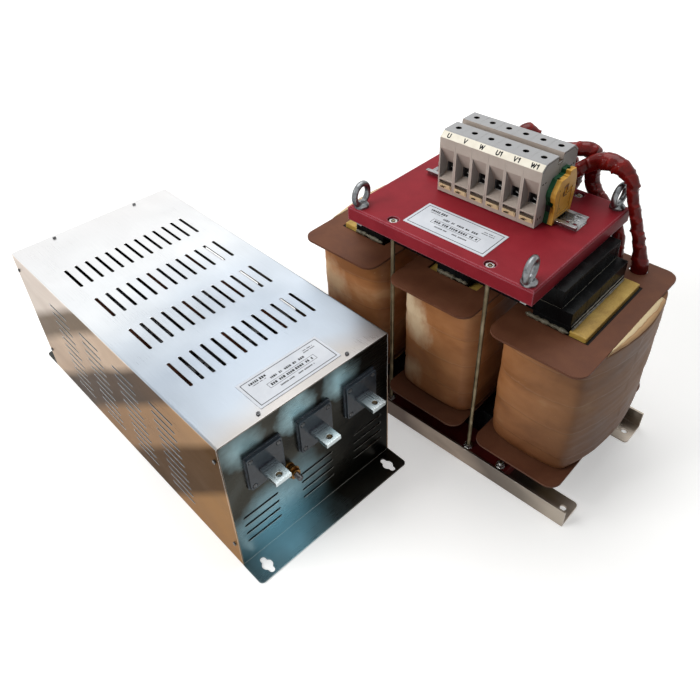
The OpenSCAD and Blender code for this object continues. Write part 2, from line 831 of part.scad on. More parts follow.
module lead_w() {
    lead(1, -1, 2, [[0.06, 0.28, 0.2, 1.04], [0.23, 0.84, 0.337, 1.15], [0.36, 0.84, 0.448, 1.2],
                    [0.42, 0.84, 0.571, 1.2], [0.41, 0.59, 0.706, 1.2], [0.44, 0.22, 0.816, 1.25],
                    [0.53, -0.34, 0.828, 1.12], [0.65, -0.66, 0.804, 1.03], [0.84, -0.84, 0.793, 1.02],
                    [0.96, -1.03, 0.865, 1.2], [1, -1.5, 0.88, 1.2], [1, -1.97, 0.767, 1.08]]);
}

module lead_u1() {
    lead(-1, 1, 3, [[0.1, 0.66, 0.19, 1], [0.38, 1.28, 0.313, 1], [0.69, 2.2, 0.46, 1],
                    [0.93, 1.78, 0.58, 1.05], [1, 0.41, 0.675, 1.05], [1, -0.72, 0.687, 1]]);
}

module lead_v1() {
    lead(0, 1, 4, [[0.56, 0.47, 0.227, 1], [1.56, 0.97, 0.387, 1], [1.89, 0.84, 0.534, 1.08],
                   [1.56, 0.22, 0.67, 1.05], [1.11, -0.72, 0.687, 1]]);
}

module lead_w1() {
    lead(1, 1, 5, [[0.066, -0.6, 0.19, 1], [0.179, -0.53, 0.4, 0.9], [0.293, -0.6, 0.613, 0.88],
                   [0.334, -0.66, 0.73, 0.97], [0.493, -0.66, 0.81, 1.32], [0.677, -0.72, 0.816, 1.36],
                   [0.834, -1.03, 0.761, 1.15]]);
}

// Mounting rail: a hat section with rounded ends to its slots

function din_screw_x(s) = s * (din_l / 2 - din_screw_end);

module din_section() {
    web = din_w - 10;
    polygon([[-web / 2, 0], [web / 2, 0], [web / 2, din_h - din_t], [din_w / 2, din_h - din_t],
             [din_w / 2, din_h], [web / 2 - din_t, din_h], [web / 2 - din_t, din_t],
             [-web / 2 + din_t, din_t], [-web / 2 + din_t, din_h], [-din_w / 2, din_h],
             [-din_w / 2, din_h - din_t], [-web / 2, din_h - din_t]]);
}

module din_rail() {
    color("lightgray") translate([0, poles_y, choke_top]) difference() {
        translate([-din_l / 2, 0, 0]) rotate([90, 0, 90]) linear_extrude(din_l) din_section();
        for (s = [-1, 1]) translate([din_screw_x(s), 0, -1]) linear_extrude(din_t + 2)
            long_slot(din_slot_l, din_slot_w);
    }
}

module din_rail_screws() {
    color("gainsboro") for (s = [-1, 1])
        translate([din_screw_x(s), poles_y, choke_top + din_t - din_screw_l])
            pan_screw(din_screw_d - 2 * nut_lift, din_screw_l);
}

// Feed-through terminals on the mounting rail, seen in section across the rail

half_d = pole_d / 2;
cage_y = half_d - funnel_d - cage_d / 2;
cage_w = clamp_size + 4;
cage_top = clamp_z + clamp_size + 9;
ledge_z = clamp_z - 11;
catch_z = ledge_z - 6.5;

module pole_section() {
    polygon([[-half_d, pole_foot], [half_d, pole_foot], [half_d, pole_h - slope_h - 1.5],
             [half_d - slope_d, pole_h - 1.5], [half_d - slope_d - 2, pole_h],
             [groove_w / 2, pole_h], [groove_w / 2, pole_h - groove_h],
             [-groove_w / 2, pole_h - groove_h], [-groove_w / 2, pole_h],
             [-half_d + slope_d + 2, pole_h], [-half_d + slope_d, pole_h - 1.5],
             [-half_d, pole_h - slope_h - 1.5]]);
}

// The space that a wire funnel leaves, from the front face to the clamp's mouth
module funnel_section() {
    polygon([[-half_d - 1, clamp_z - 5], [-half_d, clamp_z - 5], [-half_d + funnel_d, clamp_z],
             [-half_d + funnel_d, clamp_z + clamp_size], [-half_d, clamp_z + clamp_size + funnel_rise],
             [-half_d - 1, clamp_z + clamp_size + funnel_rise]]);
}

module along_x(l) {
    translate([-l / 2, 0, 0]) rotate([90, 0, 90]) linear_extrude(l) children();
}

// One terminal housing, with funnels, cage pockets, screwdriver holes and feet over the rail's lips
module pole_body() {
    w = pole_pitch - pole_gap;
    grip = din_h - din_t;
    difference() {
        along_x(w) pole_section();
        for (s = [0, 1]) mirror([0, s, 0]) {
            along_x(w - 2 * funnel_wall) funnel_section();
            translate([-cage_w / 2, -cage_y - cage_d / 2 - eps, clamp_z - 3])
                cube([cage_w, cage_d + fit, cage_top - clamp_z + 3 + fit]);
            translate([0, -cage_y, cage_top]) cylinder(d = driver_hole_d, h = pole_h);
            translate([-w / 2 + ledge_wall, -half_d - 1, ledge_z])
                cube([w - 2 * ledge_wall, ledge_d + 1, ledge_h]);
            translate([-w / 2 + ledge_wall, -half_d - 1, catch_z])
                cube([w - 2 * ledge_wall, catch_d + 1, catch_h]);
        }
        along_x(w + 1) translate([0, grip / 2]) square([din_w - 4, grip + eps], center = true);
        along_x(w + 1) translate([0, din_h - din_t / 2])
            square([din_w + 2 * fit, din_t + 2 * nut_lift], center = true);
    }
}

module at_poles() {
    for (i = [0:pole_count - 1]) translate([pole_x(i), poles_y, choke_top]) children();
}

module terminal_bodies() {
    color([0.62, 0.58, 0.53]) at_poles() pole_body();
}

// Steel clamp cages round the wire openings
module terminal_cages() {
    color("silver") at_poles() for (s = [0, 1]) mirror([0, s, 0])
        translate([0, -cage_y, 0]) difference() {
            translate([-cage_w / 2 + fit, -cage_d / 2, clamp_z - 3])
                cube([cage_w - 2 * fit, cage_d, cage_top - clamp_z + 3]);
            translate([-clamp_size / 2, -cage_d / 2 - eps, clamp_z])
                cube([clamp_size, cage_d + 2 * eps, clamp_size]);
            translate([0, 0, clamp_z]) cylinder(d = clamp_screw_d, h = cage_top);
        }
}

module terminal_screws() {
    color("gainsboro") {
        at_poles() {
            translate([0, -cage_y, clamp_z + clamp_size + 1]) slotted_screw(clamp_screw_d, 24);
            translate([0, cage_y, clamp_z + lead_bare_d + 0.2]) slotted_screw(clamp_screw_d, 24);
        }
        for (s = [-1, 1]) translate([earth_x, poles_y + s * earth_screw_y, choke_top])
            translate([0, 0, earth_h(s) - 12]) slotted_screw(earth_screw_d, 9);
    }
}

module slotted_screw(d, l) {
    difference() {
        cylinder(d = d - 2 * nut_lift, h = l);
        translate([-d, -0.6, l - 2]) cube([2 * d, 1.2, 3]);
    }
}

// Yellow rail catches under the wire ledges
module terminal_feet() {
    w = pole_pitch - pole_gap - 2 * ledge_wall - 2 * fit;
    color([0.80, 0.70, 0.46]) at_poles() for (s = [0, 1]) mirror([0, s, 0])
        translate([0, -half_d - catch_out, catch_z + fit / 3]) difference() {
            translate([-w / 2, 0, 0]) cube([w, catch_out + catch_d - fit / 3, catch_h - 2 * fit / 3]);
            translate([-w / 4, -1, catch_h / 3]) cube([w / 3, 4.4, catch_h / 4]);
        }
}

// One strip of markers on the slope of the front towers
module marker_strip() {
    slope = atan2(slope_h, slope_d);
    run = norm([slope_h, slope_d]);
    color("ivory") translate([poles_x, poles_y - half_d, choke_top + pole_h - slope_h - 1.5])
        rotate([slope, 0, 0]) translate([-pole_count * pole_pitch / 2 + 0.5, 0, 0])
            cube([pole_count * pole_pitch - 1, run, 0.8]);
}

// Earth terminal in two halves, with two screw towers of unequal height

earth_x = pole_x(pole_count - 1) + pole_pitch / 2 + earth_half_t;

function earth_h(s) = s < 0 ? earth_front_h : earth_rear_h;

module earth_section() {
    grip = din_h - din_t;
    e = earth_d / 2;
    low = earth_front_h;
    high = earth_rear_h;
    difference() {
        polygon([[-0.88 * e, pole_foot], [0.88 * e, pole_foot], [0.96 * e, 0.3 * high],
                 [1.04 * e, 0.52 * high], [0.96 * e, 0.79 * high], [0.72 * e, high], [0.2 * e, high],
                 [0.2 * e, low + 1], [0, low + 1], [0, low], [-0.56 * e, low], [-0.96 * e, 0.77 * low],
                 [-e, 0.67 * low], [-0.84 * e, 0.5 * low], [-0.8 * e, 0.27 * low]]);
        translate([0, grip / 2]) square([din_w - 4, grip + eps], center = true);
        translate([0, din_h - din_t / 2]) square([din_w + 2 * fit, din_t + 2 * nut_lift], center = true);
    }
}

module earth_half(side) {
    difference() {
        translate([side > 0 ? earth_half_t / 2 : -earth_half_t / 2, 0, 0])
            along_x(earth_half_t) earth_section();
        for (s = [-1, 1]) translate([0, s * earth_screw_y, earth_h(s) - 12])
            cylinder(d = earth_screw_d, h = 14);
        for (s = [-1, 1]) translate([-3.5, s * (earth_d / 2 - 3) - 8, 24]) cube([7, 16, 8]);
    }
}

module earth_terminal_green() {
    color([0.12, 0.36, 0.2]) translate([earth_x, poles_y, choke_top]) earth_half(-1);
}

module earth_terminal_yellow() {
    color([0.85, 0.63, 0.22]) translate([earth_x, poles_y, choke_top]) difference() {
        earth_half(1);
        translate([earth_half_t - 1, earth_recess_y, earth_recess_z])
            cube([2, earth_recess_l, earth_recess_h]);
        translate([earth_half_t - 2.2, -2, earth_slot_z]) cube([3, 8, earth_slot_h]);
    }
}

module choke_label() {
    color("white") translate([label_x - label_l / 2, label_y, choke_top])
        cube([label_l, label_w, label_t]);
}

// Capacitor block, in its own frame: +X towards the terminals, origin under its middle

module at_block() {
    translate([block_x, block_y, 0]) rotate([0, 0, block_turn]) children();
}

function slot_row_x(r) = (r - (slot_rows - 1) / 2) * slot_row_pitch;

// Section of the folded cover, with rounded outer edges
module cover_section(w, h, r) {
    translate([-w / 2, 0]) square([w, h - r]);
    translate([-w / 2 + r, 0]) square([w - 2 * r, h]);
    for (x = [-1, 1]) translate([x * (w / 2 - r), h - r]) circle(r = r);
}

// Folded cover: top and both sides in one sheet, with vent slots
module block_cover() {
    lift = 1;
    color([0.80, 0.81, 0.82]) at_block() difference() {
        translate([-block_l / 2, 0, lift]) rotate([90, 0, 90]) linear_extrude(block_l) difference() {
            cover_section(block_w, block_h - lift, 2 * sheet_t);
            translate([0, -1]) cover_section(block_w - 2 * sheet_t, block_h - lift - sheet_t + 1, sheet_t);
        }
        for (r = [0:slot_rows - 1]) {
            for (k = [0:slot_count - 1])
                translate([slot_row_x(r), (k - (slot_count - 1) / 2) * slot_pitch, block_h - 3 * sheet_t])
                    linear_extrude(4 * sheet_t) long_slot(slot_l, slot_w);
            for (k = [0:side_slots - 1])
                translate([slot_row_x(r), block_w / 2 + 1, side_slot_z + k * side_slot_pitch])
                    rotate([90, 0, 0]) linear_extrude(block_w + 2) long_slot(slot_l, slot_w);
        }
        at_cover_screws()
            cylinder(d = cover_screw_d + 0.4, h = 3 * sheet_t, center = true, $fn = 20);
    }
}

// Where the cover's screws sit: two on top and two on each side, at both ends
module at_cover_screws() {
    for (e = [-1, 1]) {
        x = e * (block_l / 2 - cover_screw_end);
        for (y = [-1, 1]) translate([x, y * cover_screw_y, block_h]) children();
        for (y = [-1, 1], z = [cover_screw_low, cover_screw_high])
            translate([x, y * block_w / 2, z]) rotate([-90 * y, 0, 0]) children();
    }
}

module block_screws() {
    color("gainsboro") at_block() {
        at_cover_screws() translate([0, 0, -8]) pan_screw(cover_screw_d, 8);
        at_bars() at_insulator_screws() translate([0, 0, -sheet_t - 5])
            pan_screw(3, insulator_t - 1.5 + sheet_t + 5);
    }
}

// End panel: sheet with a foot flange folded out, and folds behind that take the cover's screws
module end_panel() {
    w = block_w - 2 * sheet_t - 2 * sheet_fit;
    h = block_h - sheet_t - sheet_fit;
    x = block_l / 2;
    difference() {
        union() {
            translate([x - sheet_t, 0, 0]) rotate([90, 0, 90]) linear_extrude(sheet_t)
                cover_section(w, h, 2 * sheet_t);
            translate([x, 0, 0]) linear_extrude(sheet_t) foot_outline();
            translate([x - fold_d, 4 * sheet_t - w / 2, h - sheet_t])
                cube([fold_d, w - 8 * sheet_t, sheet_t]);
            for (s = [-1, 1]) translate([x - fold_d / 2, s * (w - sheet_t) / 2, h / 2])
                cube([fold_d, sheet_t, h - 8 * sheet_t], center = true);
        }
        for (s = [-1, 1]) translate([x + keyhole_out, s * (block_w / 2 - keyhole_in), -1])
            linear_extrude(sheet_t + 2) {
                circle(d = keyhole_d);
                long_slot(keyhole_l, keyhole_slot);
            }
        at_cover_screws() cylinder(d = cover_screw_d, h = 8 * sheet_t, center = true);
    }
}

module foot_outline() {
    intersection() {
        round_rect(2 * foot_l, block_w, foot_r);
        translate([0, -block_w / 2]) square([foot_l, block_w]);
    }
    translate([-sheet_t, -block_w / 2 + sheet_t + sheet_fit])
        square([sheet_t + foot_l / 2, block_w - 2 * sheet_t - 2 * sheet_fit]);
}

function bar_y(i) = (i - 1) * bar_pitch;

module front_panel() {
    x = block_l / 2 - sheet_t - 1;
    color([0.62, 0.62, 0.60]) at_block() difference() {
        end_panel();
        for (g = [-1:1], k = [0:front_slots - 1])
            translate([x, g * front_slot_pitch, front_slot_z + k * front_slot_step]) rotate([0, 90, 0])
                linear_extrude(sheet_t + 2) rotate(90) long_slot(slot_l, slot_w);
        for (i = [0:2]) translate([x, bar_y(i), bar_z - bar_t / 2]) rotate([0, 90, 0]) {
            linear_extrude(sheet_t + 2) square([bar_t + 8 + 2 * fit, bar_w + 8 + 2 * fit], center = true);
            at_insulator_screws() cylinder(d = 3, h = sheet_t + 2);
        }
        translate([x, stud_y, stud_z]) rotate([0, 90, 0]) cylinder(d = stud_d + fit, h = sheet_t + 2);
    }
}

module rear_panel() {
    color([0.62, 0.62, 0.60]) at_block() mirror([1, 0, 0]) end_panel();
}

module base_sheet() {
    l = block_l - 2 * sheet_t - 2 * sheet_fit;
    w = block_w - 2 * sheet_t - 2 * sheet_fit;
    color([0.7, 0.7, 0.68]) at_block() translate([-l / 2, -w / 2, 0]) cube([l, w, sheet_t]);
}

// Insulators: square, with a collar through the panel, four sunk screws and a slot for the bar

screw_w = insulator_w / 2 - insulator_screw_in;
screw_h = insulator_h / 2 - insulator_screw_in;

module at_insulator_screws() {
    for (y = [-1, 1], z = [-1, 1]) translate([z * screw_h, y * screw_w, 0]) children();
}

module insulator() {
    difference() {
        union() {
            linear_extrude(2.5) round_rect(insulator_h, insulator_w, 2);
            translate([0, 0, 2.5]) linear_extrude(insulator_t - 2.5)
                round_rect(insulator_h - 3, insulator_w - 3, 2);
            translate([0, 0, -sheet_t - collar_l]) linear_extrude(sheet_t + collar_l + 1)
                round_rect(bar_t + 8, bar_w + 8, 1.5);
        }
        at_insulator_screws() {
            translate([0, 0, -1]) cylinder(d = 3.4, h = insulator_t + 2);
            translate([0, 0, insulator_t - 1.5]) cylinder(d = 7.4, h = 4);
        }
        translate([0, 0, -sheet_t - collar_l - 1]) linear_extrude(insulator_t + sheet_t + collar_l + 2)
            square([bar_t + 2 * nut_lift, bar_w + 2 * nut_lift], center = true);
    }
}

module at_bars() {
    for (i = [0:2]) translate([block_l / 2, bar_y(i), bar_z - bar_t / 2]) rotate([0, 90, 0]) children();
}

module insulators() {
    color([0.13, 0.14, 0.16]) at_block() at_bars() insulator();
}

// Tinned copper bars, tapped at both ends
module terminal_bars() {
    color([0.82, 0.80, 0.76]) at_block() for (i = [0:2]) difference() {
        translate([block_l / 2 - bar_in, bar_y(i) - bar_w / 2, bar_z - bar_t])
            cube([bar_in + bar_out, bar_w, bar_t]);
        translate([block_l / 2 + bar_out - bar_hole_end, bar_y(i), bar_z - bar_t - 1])
            cylinder(d = bar_hole_d, h = bar_t + 2);
    }
}

module earth_stud() {
    color("gainsboro") at_block() translate([block_l / 2 - sheet_t - nut_t - 3, stud_y, stud_z])
        rotate([0, 90, 0]) cylinder(d = stud_d, h = sheet_t + nut_t + 3 + 25);
}

module earth_stud_nuts() {
    hole = stud_d + 2 * nut_lift;
    color("gainsboro") at_block() translate([block_l / 2, stud_y, stud_z]) rotate([0, 90, 0]) {
        washer(stud_d + 8, washer_t, hole);
        translate([0, 0, washer_t]) nut(stud_d + 5, nut_t, hole);
        translate([0, 0, washer_t + nut_t + 3]) washer(stud_d + 10, washer_t, hole);
        translate([0, 0, 2 * washer_t + nut_t + 3]) nut(stud_d + 5, nut_t, hole);
        translate([0, 0, -sheet_t - nut_t]) nut(stud_d + 5, nut_t, hole);
    }
}

// Inside the block: eight cans through a folded shelf, cross beams on their heads, three phase bars

module at_cans() {
    for (x = [-1.5:1.5], y = [-0.5, 0.5]) translate([x * can_pitch, y * can_across, sheet_t]) children();
}

can_top = sheet_t + can_h;
head_top = can_top + head_h;
beam_top = head_top + beam_h;

module capacitor_cans() {
    r = can_d / 2;
    color([0.72, 0.73, 0.75]) at_block() at_cans() {
        rotate_extrude() polygon([[0, 0], [r - 4, 0], [r, 4], [r, can_h - 4], [r - 1, can_h - 1],
                                  [r - 2, can_h], [0, can_h]]);
        translate([0, 0, can_h]) cylinder(d = head_d, h = head_h - 6);
        translate([0, 0, can_h + head_h - 6]) cylinder(d = head_d - 14, h = 6);
        for (a = [90:120:330]) rotate(a) translate([head_d / 2 - 5, 0, can_h + head_h - 7])
            cylinder(d = 6, h = 6);
    }
}

module can_shelf() {
    l = 3 * can_pitch + can_d + 12;
    w = block_w - 2 * sheet_t - 6;
    color([0.6, 0.6, 0.6]) at_block() difference() {
        union() {
            translate([-l / 2, -w / 2, shelf_z]) cube([l, w, sheet_t]);
            for (s = [-1, 1]) translate([s * (l - sheet_t) / 2, 0, (shelf_z + sheet_t) / 2])
                cube([sheet_t, w, shelf_z - sheet_t], center = true);
        }
        at_cans() cylinder(d = can_d + 2 * fit, h = block_h);
    }
}

module cross_beams() {
    l = can_across + head_d - 20;
    color([0.74, 0.6, 0.3]) at_block() for (x = [-1.5:1.5])
        translate([x * can_pitch, 0, head_top + beam_h / 2]) cube([beam_w, l, beam_h], center = true);
}

// Flat bars on the cross beams, with a step down to the terminal bars at the front
module phase_bars() {
    rear = -1.5 * can_pitch - beam_w;
    front = block_l / 2 - collar_l - sheet_t - 6;
    drop = front - phase_w;
    color([0.72, 0.45, 0.30]) at_block() for (i = [0:2]) translate([0, bar_y(i) + phase_w / 2, 0])
        rotate([90, 0, 0]) linear_extrude(phase_w)
            polygon([[rear, beam_top], [drop, beam_top], [drop, bar_z], [front, bar_z],
                     [front, bar_z + phase_t], [drop + phase_t, bar_z + phase_t],
                     [drop + phase_t, beam_top + phase_t], [rear, beam_top + phase_t]]);
}

module block_label() {
    color("white") at_block()
        translate([block_l / 2 - block_label_in - block_label_w, -block_label_l / 2, block_h])
            cube([block_label_w, block_label_l, label_t]);
}

front_rail();
rear_rail();
rail_screws();
bottom_plate();
top_plate();
tie_rods();
plate_nuts();
eyebolts();
eyebolt_nuts();
top_yoke_outer();
top_yoke_inner();
bottom_yoke_inner();
bottom_yoke_outer();
limb_left();
limb_middle();
limb_right();
gap_plates();
limb_wedges();
coil_supports();
coil_left();
coil_middle();
coil_right();
coil_cuffs();
top_flange_left();
top_flange_middle();
top_flange_right();
bottom_flange_left();
bottom_flange_middle();
bottom_flange_right();
lead_u();
lead_v();
lead_w();
lead_u1();
lead_v1();
lead_w1();
din_rail();
din_rail_screws();
terminal_bodies();
terminal_cages();
terminal_screws();
terminal_feet();
marker_strip();
earth_terminal_green();
earth_terminal_yellow();
choke_label();
block_cover();
front_panel();
rear_panel();
base_sheet();
block_screws();
insulators();
terminal_bars();
earth_stud();
earth_stud_nuts();
capacitor_cans();
can_shelf();
cross_beams();
phase_bars();
block_label();
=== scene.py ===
import math
import random

import bmesh
import bpy
from mathutils import Matrix, Vector, noise


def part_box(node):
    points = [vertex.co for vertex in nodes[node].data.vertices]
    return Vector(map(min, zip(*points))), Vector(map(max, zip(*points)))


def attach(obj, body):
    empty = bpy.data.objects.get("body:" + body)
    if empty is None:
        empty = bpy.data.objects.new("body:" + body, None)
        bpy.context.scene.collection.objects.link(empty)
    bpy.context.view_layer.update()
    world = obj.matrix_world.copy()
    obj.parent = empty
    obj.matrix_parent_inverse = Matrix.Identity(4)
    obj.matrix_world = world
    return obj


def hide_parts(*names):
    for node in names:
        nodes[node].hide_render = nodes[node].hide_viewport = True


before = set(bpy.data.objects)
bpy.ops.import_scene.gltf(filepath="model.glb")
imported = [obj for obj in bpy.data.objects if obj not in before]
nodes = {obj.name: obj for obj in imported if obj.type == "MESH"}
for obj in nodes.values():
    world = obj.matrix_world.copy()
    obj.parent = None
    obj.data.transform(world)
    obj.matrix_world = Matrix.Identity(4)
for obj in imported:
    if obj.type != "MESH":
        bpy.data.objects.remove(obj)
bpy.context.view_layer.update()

# Looks of a three-phase sine wave filter: an open choke on two rails and its capacitor block.
# Lengths in the dictionaries are millimetres in the part's own frame, or metres where a note says so.
# Colours are sRGB, 0 to 255.

mm = 0.001
scene = bpy.context.scene

# the capacitor block, its bars' spacing too
blockShape = {"middle": (-298, -291), "turn": -3.3, "half": 267, "barPitch": 79}


# camera

cameraView = {
    "place": (409.4, -678.7, 825.2),
    "yaw": -43.15,
    "pitch": 39.81,
    "roll": -1.4,
    "lens": 35.42,
    "shift": (-0.0198, -0.0549),
}


def makeCamera(view):
    yaw, pitch, roll = (math.radians(view[k]) for k in ("yaw", "pitch", "roll"))
    ahead = Vector((math.sin(yaw) * math.cos(pitch), math.cos(yaw) * math.cos(pitch), -math.sin(pitch)))
    right = Vector((math.cos(yaw), -math.sin(yaw), 0))
    up = right.cross(ahead)
    rightTurned = math.cos(roll) * right + math.sin(roll) * up
    upTurned = -math.sin(roll) * right + math.cos(roll) * up
    data = bpy.data.cameras.new("photoCamera")
    data.sensor_width = 36
    data.lens = view["lens"]
    data.shift_x, data.shift_y = view["shift"]
    data.clip_start, data.clip_end = 0.02, 60
    camera = bpy.data.objects.new("photoCamera", data)
    scene.collection.objects.link(camera)
    turn = Matrix((rightTurned, upTurned, -ahead)).transposed().to_4x4()
    camera.matrix_world = Matrix.Translation(Vector(view["place"]) * mm) @ turn
    scene.camera = camera


makeCamera(cameraView)
print("camera set")


# helpers for materials

def tone(r, g, b):
    # sRGB 0..255 to the linear colour that sockets take
    def lin(v):
        v /= 255
        return v / 12.92 if v <= 0.04045 else ((v + 0.055) / 1.055) ** 2.4
    return lin(r), lin(g), lin(b), 1.0


def add(tree, kind, sockets=(), **settings):
    # a socket takes a plain value or another node's output
    made = tree.nodes.new("ShaderNode" + kind)
    for key, value in settings.items():
        setattr(made, key, value)
    for key, value in dict(sockets).items():
        if isinstance(value, bpy.types.NodeSocket):
            tree.links.new(value, made.inputs[key])
        else:
            made.inputs[key].default_value = value
    return made


def pointOf(tree):
    return add(tree, "TexCoord").outputs["Object"]


def normalOf(tree):
    return add(tree, "NewGeometry").outputs["Normal"]


def partOf(tree, vector, axis):
    return add(tree, "SeparateXYZ", {"Vector": vector}).outputs[axis]


def heightOf(tree):
    return partOf(tree, pointOf(tree), "Z")


def compare(tree, first, second, operation="DOT_PRODUCT"):
    return add(tree, "VectorMath", {0: first, 1: second}, operation=operation).outputs["Value"]


def startMaterial(name, metallic=0.0, roughness=0.5, specular=0.5):
    material = bpy.data.materials.new(name)
    material.use_nodes = True
    tree = material.node_tree
    shader = tree.nodes["Principled BSDF"]
    shader.inputs["Metallic"].default_value = metallic
    shader.inputs["Roughness"].default_value = roughness
    shader.inputs["Specular IOR Level"].default_value = specular
    return material, tree, shader


def placeIn(tree, scale=(1, 1, 1), turn=0.0):
    if tuple(scale) == (1, 1, 1) and not turn:
        return pointOf(tree)
    sockets = {"Vector": pointOf(tree), "Scale": [1 / v for v in scale],
               "Rotation": (0, 0, math.radians(turn))}
    return add(tree, "Mapping", sockets, vector_type="TEXTURE").outputs[0]


def cloud(tree, point, size, detail=4.0, rough=0.55, warp=0.0):
    # size is the width of one blotch in millimetres
    return add(tree, "TexNoise", {"Vector": point, "Scale": 1 / (size * mm), "Detail": detail,
                                  "Roughness": rough, "Distortion": warp}).outputs["Fac"]


def ramp(tree, fac, stops):
    made = add(tree, "ValToRGB", {"Fac": fac})
    bands = made.color_ramp.elements
    while len(bands) < len(stops):
        bands.new(0.5)
    for band, (place, colour) in zip(bands, stops):
        band.position = place
        band.color = tone(*colour)
    return made.outputs["Color"]


def spread(tree, value, low, high, to=(0.0, 1.0)):
    return add(tree, "MapRange", {"Value": value, "From Min": low, "From Max": high,
                                  "To Min": to[0], "To Max": to[1]}).outputs["Result"]


def blendColour(tree, share, first, second, mode="MIX"):
    sockets = {0: share, 6: first, 7: second}
    return add(tree, "Mix", sockets, data_type="RGBA", blend_type=mode).outputs[2]


def calculate(tree, operation, *values):
    return add(tree, "Math", dict(enumerate(values)), operation=operation).outputs[0]


def times(tree, value, factor):
    return calculate(tree, "MULTIPLY", value, factor)


def weighed(tree, first, second, share):
    # the share of the first, and the rest of the second
    return calculate(tree, "ADD", times(tree, first, share), times(tree, second, 1 - share))


def alongBlock(tree, low=-blockShape["half"], high=blockShape["half"]):
    # 0 at the capacitor block's rear end, 1 at its terminals
    turn = math.radians(blockShape["turn"])
    way = (math.cos(turn), math.sin(turn), 0)
    middle = (blockShape["middle"][0] * way[0] + blockShape["middle"][1] * way[1]) * mm
    return spread(tree, compare(tree, pointOf(tree), way), middle + low * mm, middle + high * mm)


def faceUp(tree, axis="Z"):
    return spread(tree, partOf(tree, normalOf(tree), axis), 0.4, 0.6)


def markOf(tree, name):
    return add(tree, "Attribute", attribute_name=name).outputs["Fac"]


def softEdge(tree, radius):
    return add(tree, "Bevel", {"Radius": radius * mm}, samples=4).outputs["Normal"]


def edgeShare(tree, rounded, low=0.002, high=0.12):
    # 1 where the rounded normal leaves the flat one, that is along an edge
    dot = compare(tree, rounded, normalOf(tree))
    return spread(tree, calculate(tree, "SUBTRACT", 1.0, dot), low, high)


def relief(tree, height, depth, strength=1.0, normal=None):
    sockets = {"Height": height, "Distance": depth * mm, "Strength": strength}
    if normal is not None:
        sockets["Normal"] = normal
    return add(tree, "Bump", sockets).outputs["Normal"]


def wire(tree, output, shader, socket):
    tree.links.new(output, shader.inputs[socket])


def shifted(tree, share, size, amount, stretch=(1, 1, 1)):
    # a share that wavers by the amount, over blotches of the size
    waver = cloud(tree, placeIn(tree, stretch, blockShape["turn"]), size, 2, 0.5, 0.4)
    return calculate(tree, "ADD", share, times(tree, calculate(tree, "SUBTRACT", waver, 0.5), amount))


def raggedSpot(tree, spot, reach, share, waver, core=0.0):
    # the share inside a round spot, 0 past its reach; waver and core are shares of the reach
    away = compare(tree, pointOf(tree), [v * mm for v in spot], "DISTANCE")
    ragged = calculate(tree, "MULTIPLY_ADD", waver, reach * mm, away)
    return spread(tree, ragged, reach * mm, core * reach * mm, (0, share))


# metals

def metalSurface(name, look, colourOf=None):
    # colourOf gives the tone of a brushed sheet from the place on it, painted reflections included for the
    # cover, panel and rail; other metals have cloudy tones
    material, tree, shader = startMaterial(name, 1.0)
    shader.inputs["Specular Tint"].default_value = (*look.get("rim", (1, 1, 1)), 1)
    turn = blockShape["turn"] if colourOf else 0
    grain = cloud(tree, placeIn(tree, look.get("stretch", (1, 1, 1)), turn), look["grain"], 6, 0.7)
    if colourOf:
        slow, margin, darkest = cloud(tree, placeIn(tree), 70, 3, 0.5, 0.8), 0.3, 0.93
        colour, worn = colourOf(tree, look), look["worn"]
    else:
        slow, margin, darkest = cloud(tree, placeIn(tree), look["patch"], 3, 0.5, 0.6), 0.2, 0.9
        dark, middle, light, worn = look["tones"]
        colour = ramp(tree, slow, [(0.25, dark), (0.5, middle), (0.8, light)])
    streak = spread(tree, grain, 0.3, 0.7, (darkest, 1.0))
    grey = add(tree, "CombineColor", dict.fromkeys(("Red", "Green", "Blue"), streak)).outputs["Color"]
    colour = blendColour(tree, 1.0, colour, grey, "MULTIPLY")
    rounded = softEdge(tree, look.get("edge", 0.5))
    edges = times(tree, edgeShare(tree, rounded), 0.5)
    wire(tree, blendColour(tree, edges, colour, tone(*worn)), shader, "Base Color")
    low, high = look["roughness"]
    half = (high - low) / 2
    gloss = calculate(tree, "ADD", spread(tree, slow, margin, 1 - margin, (low, low + half)),
                      spread(tree, grain, 0.25, 0.75, (0, half)))
    wire(tree, gloss, shader, "Roughness")
    wire(tree, relief(tree, grain, look.get("depth", 0.02), 0.6, rounded), shader, "Normal")
    return material


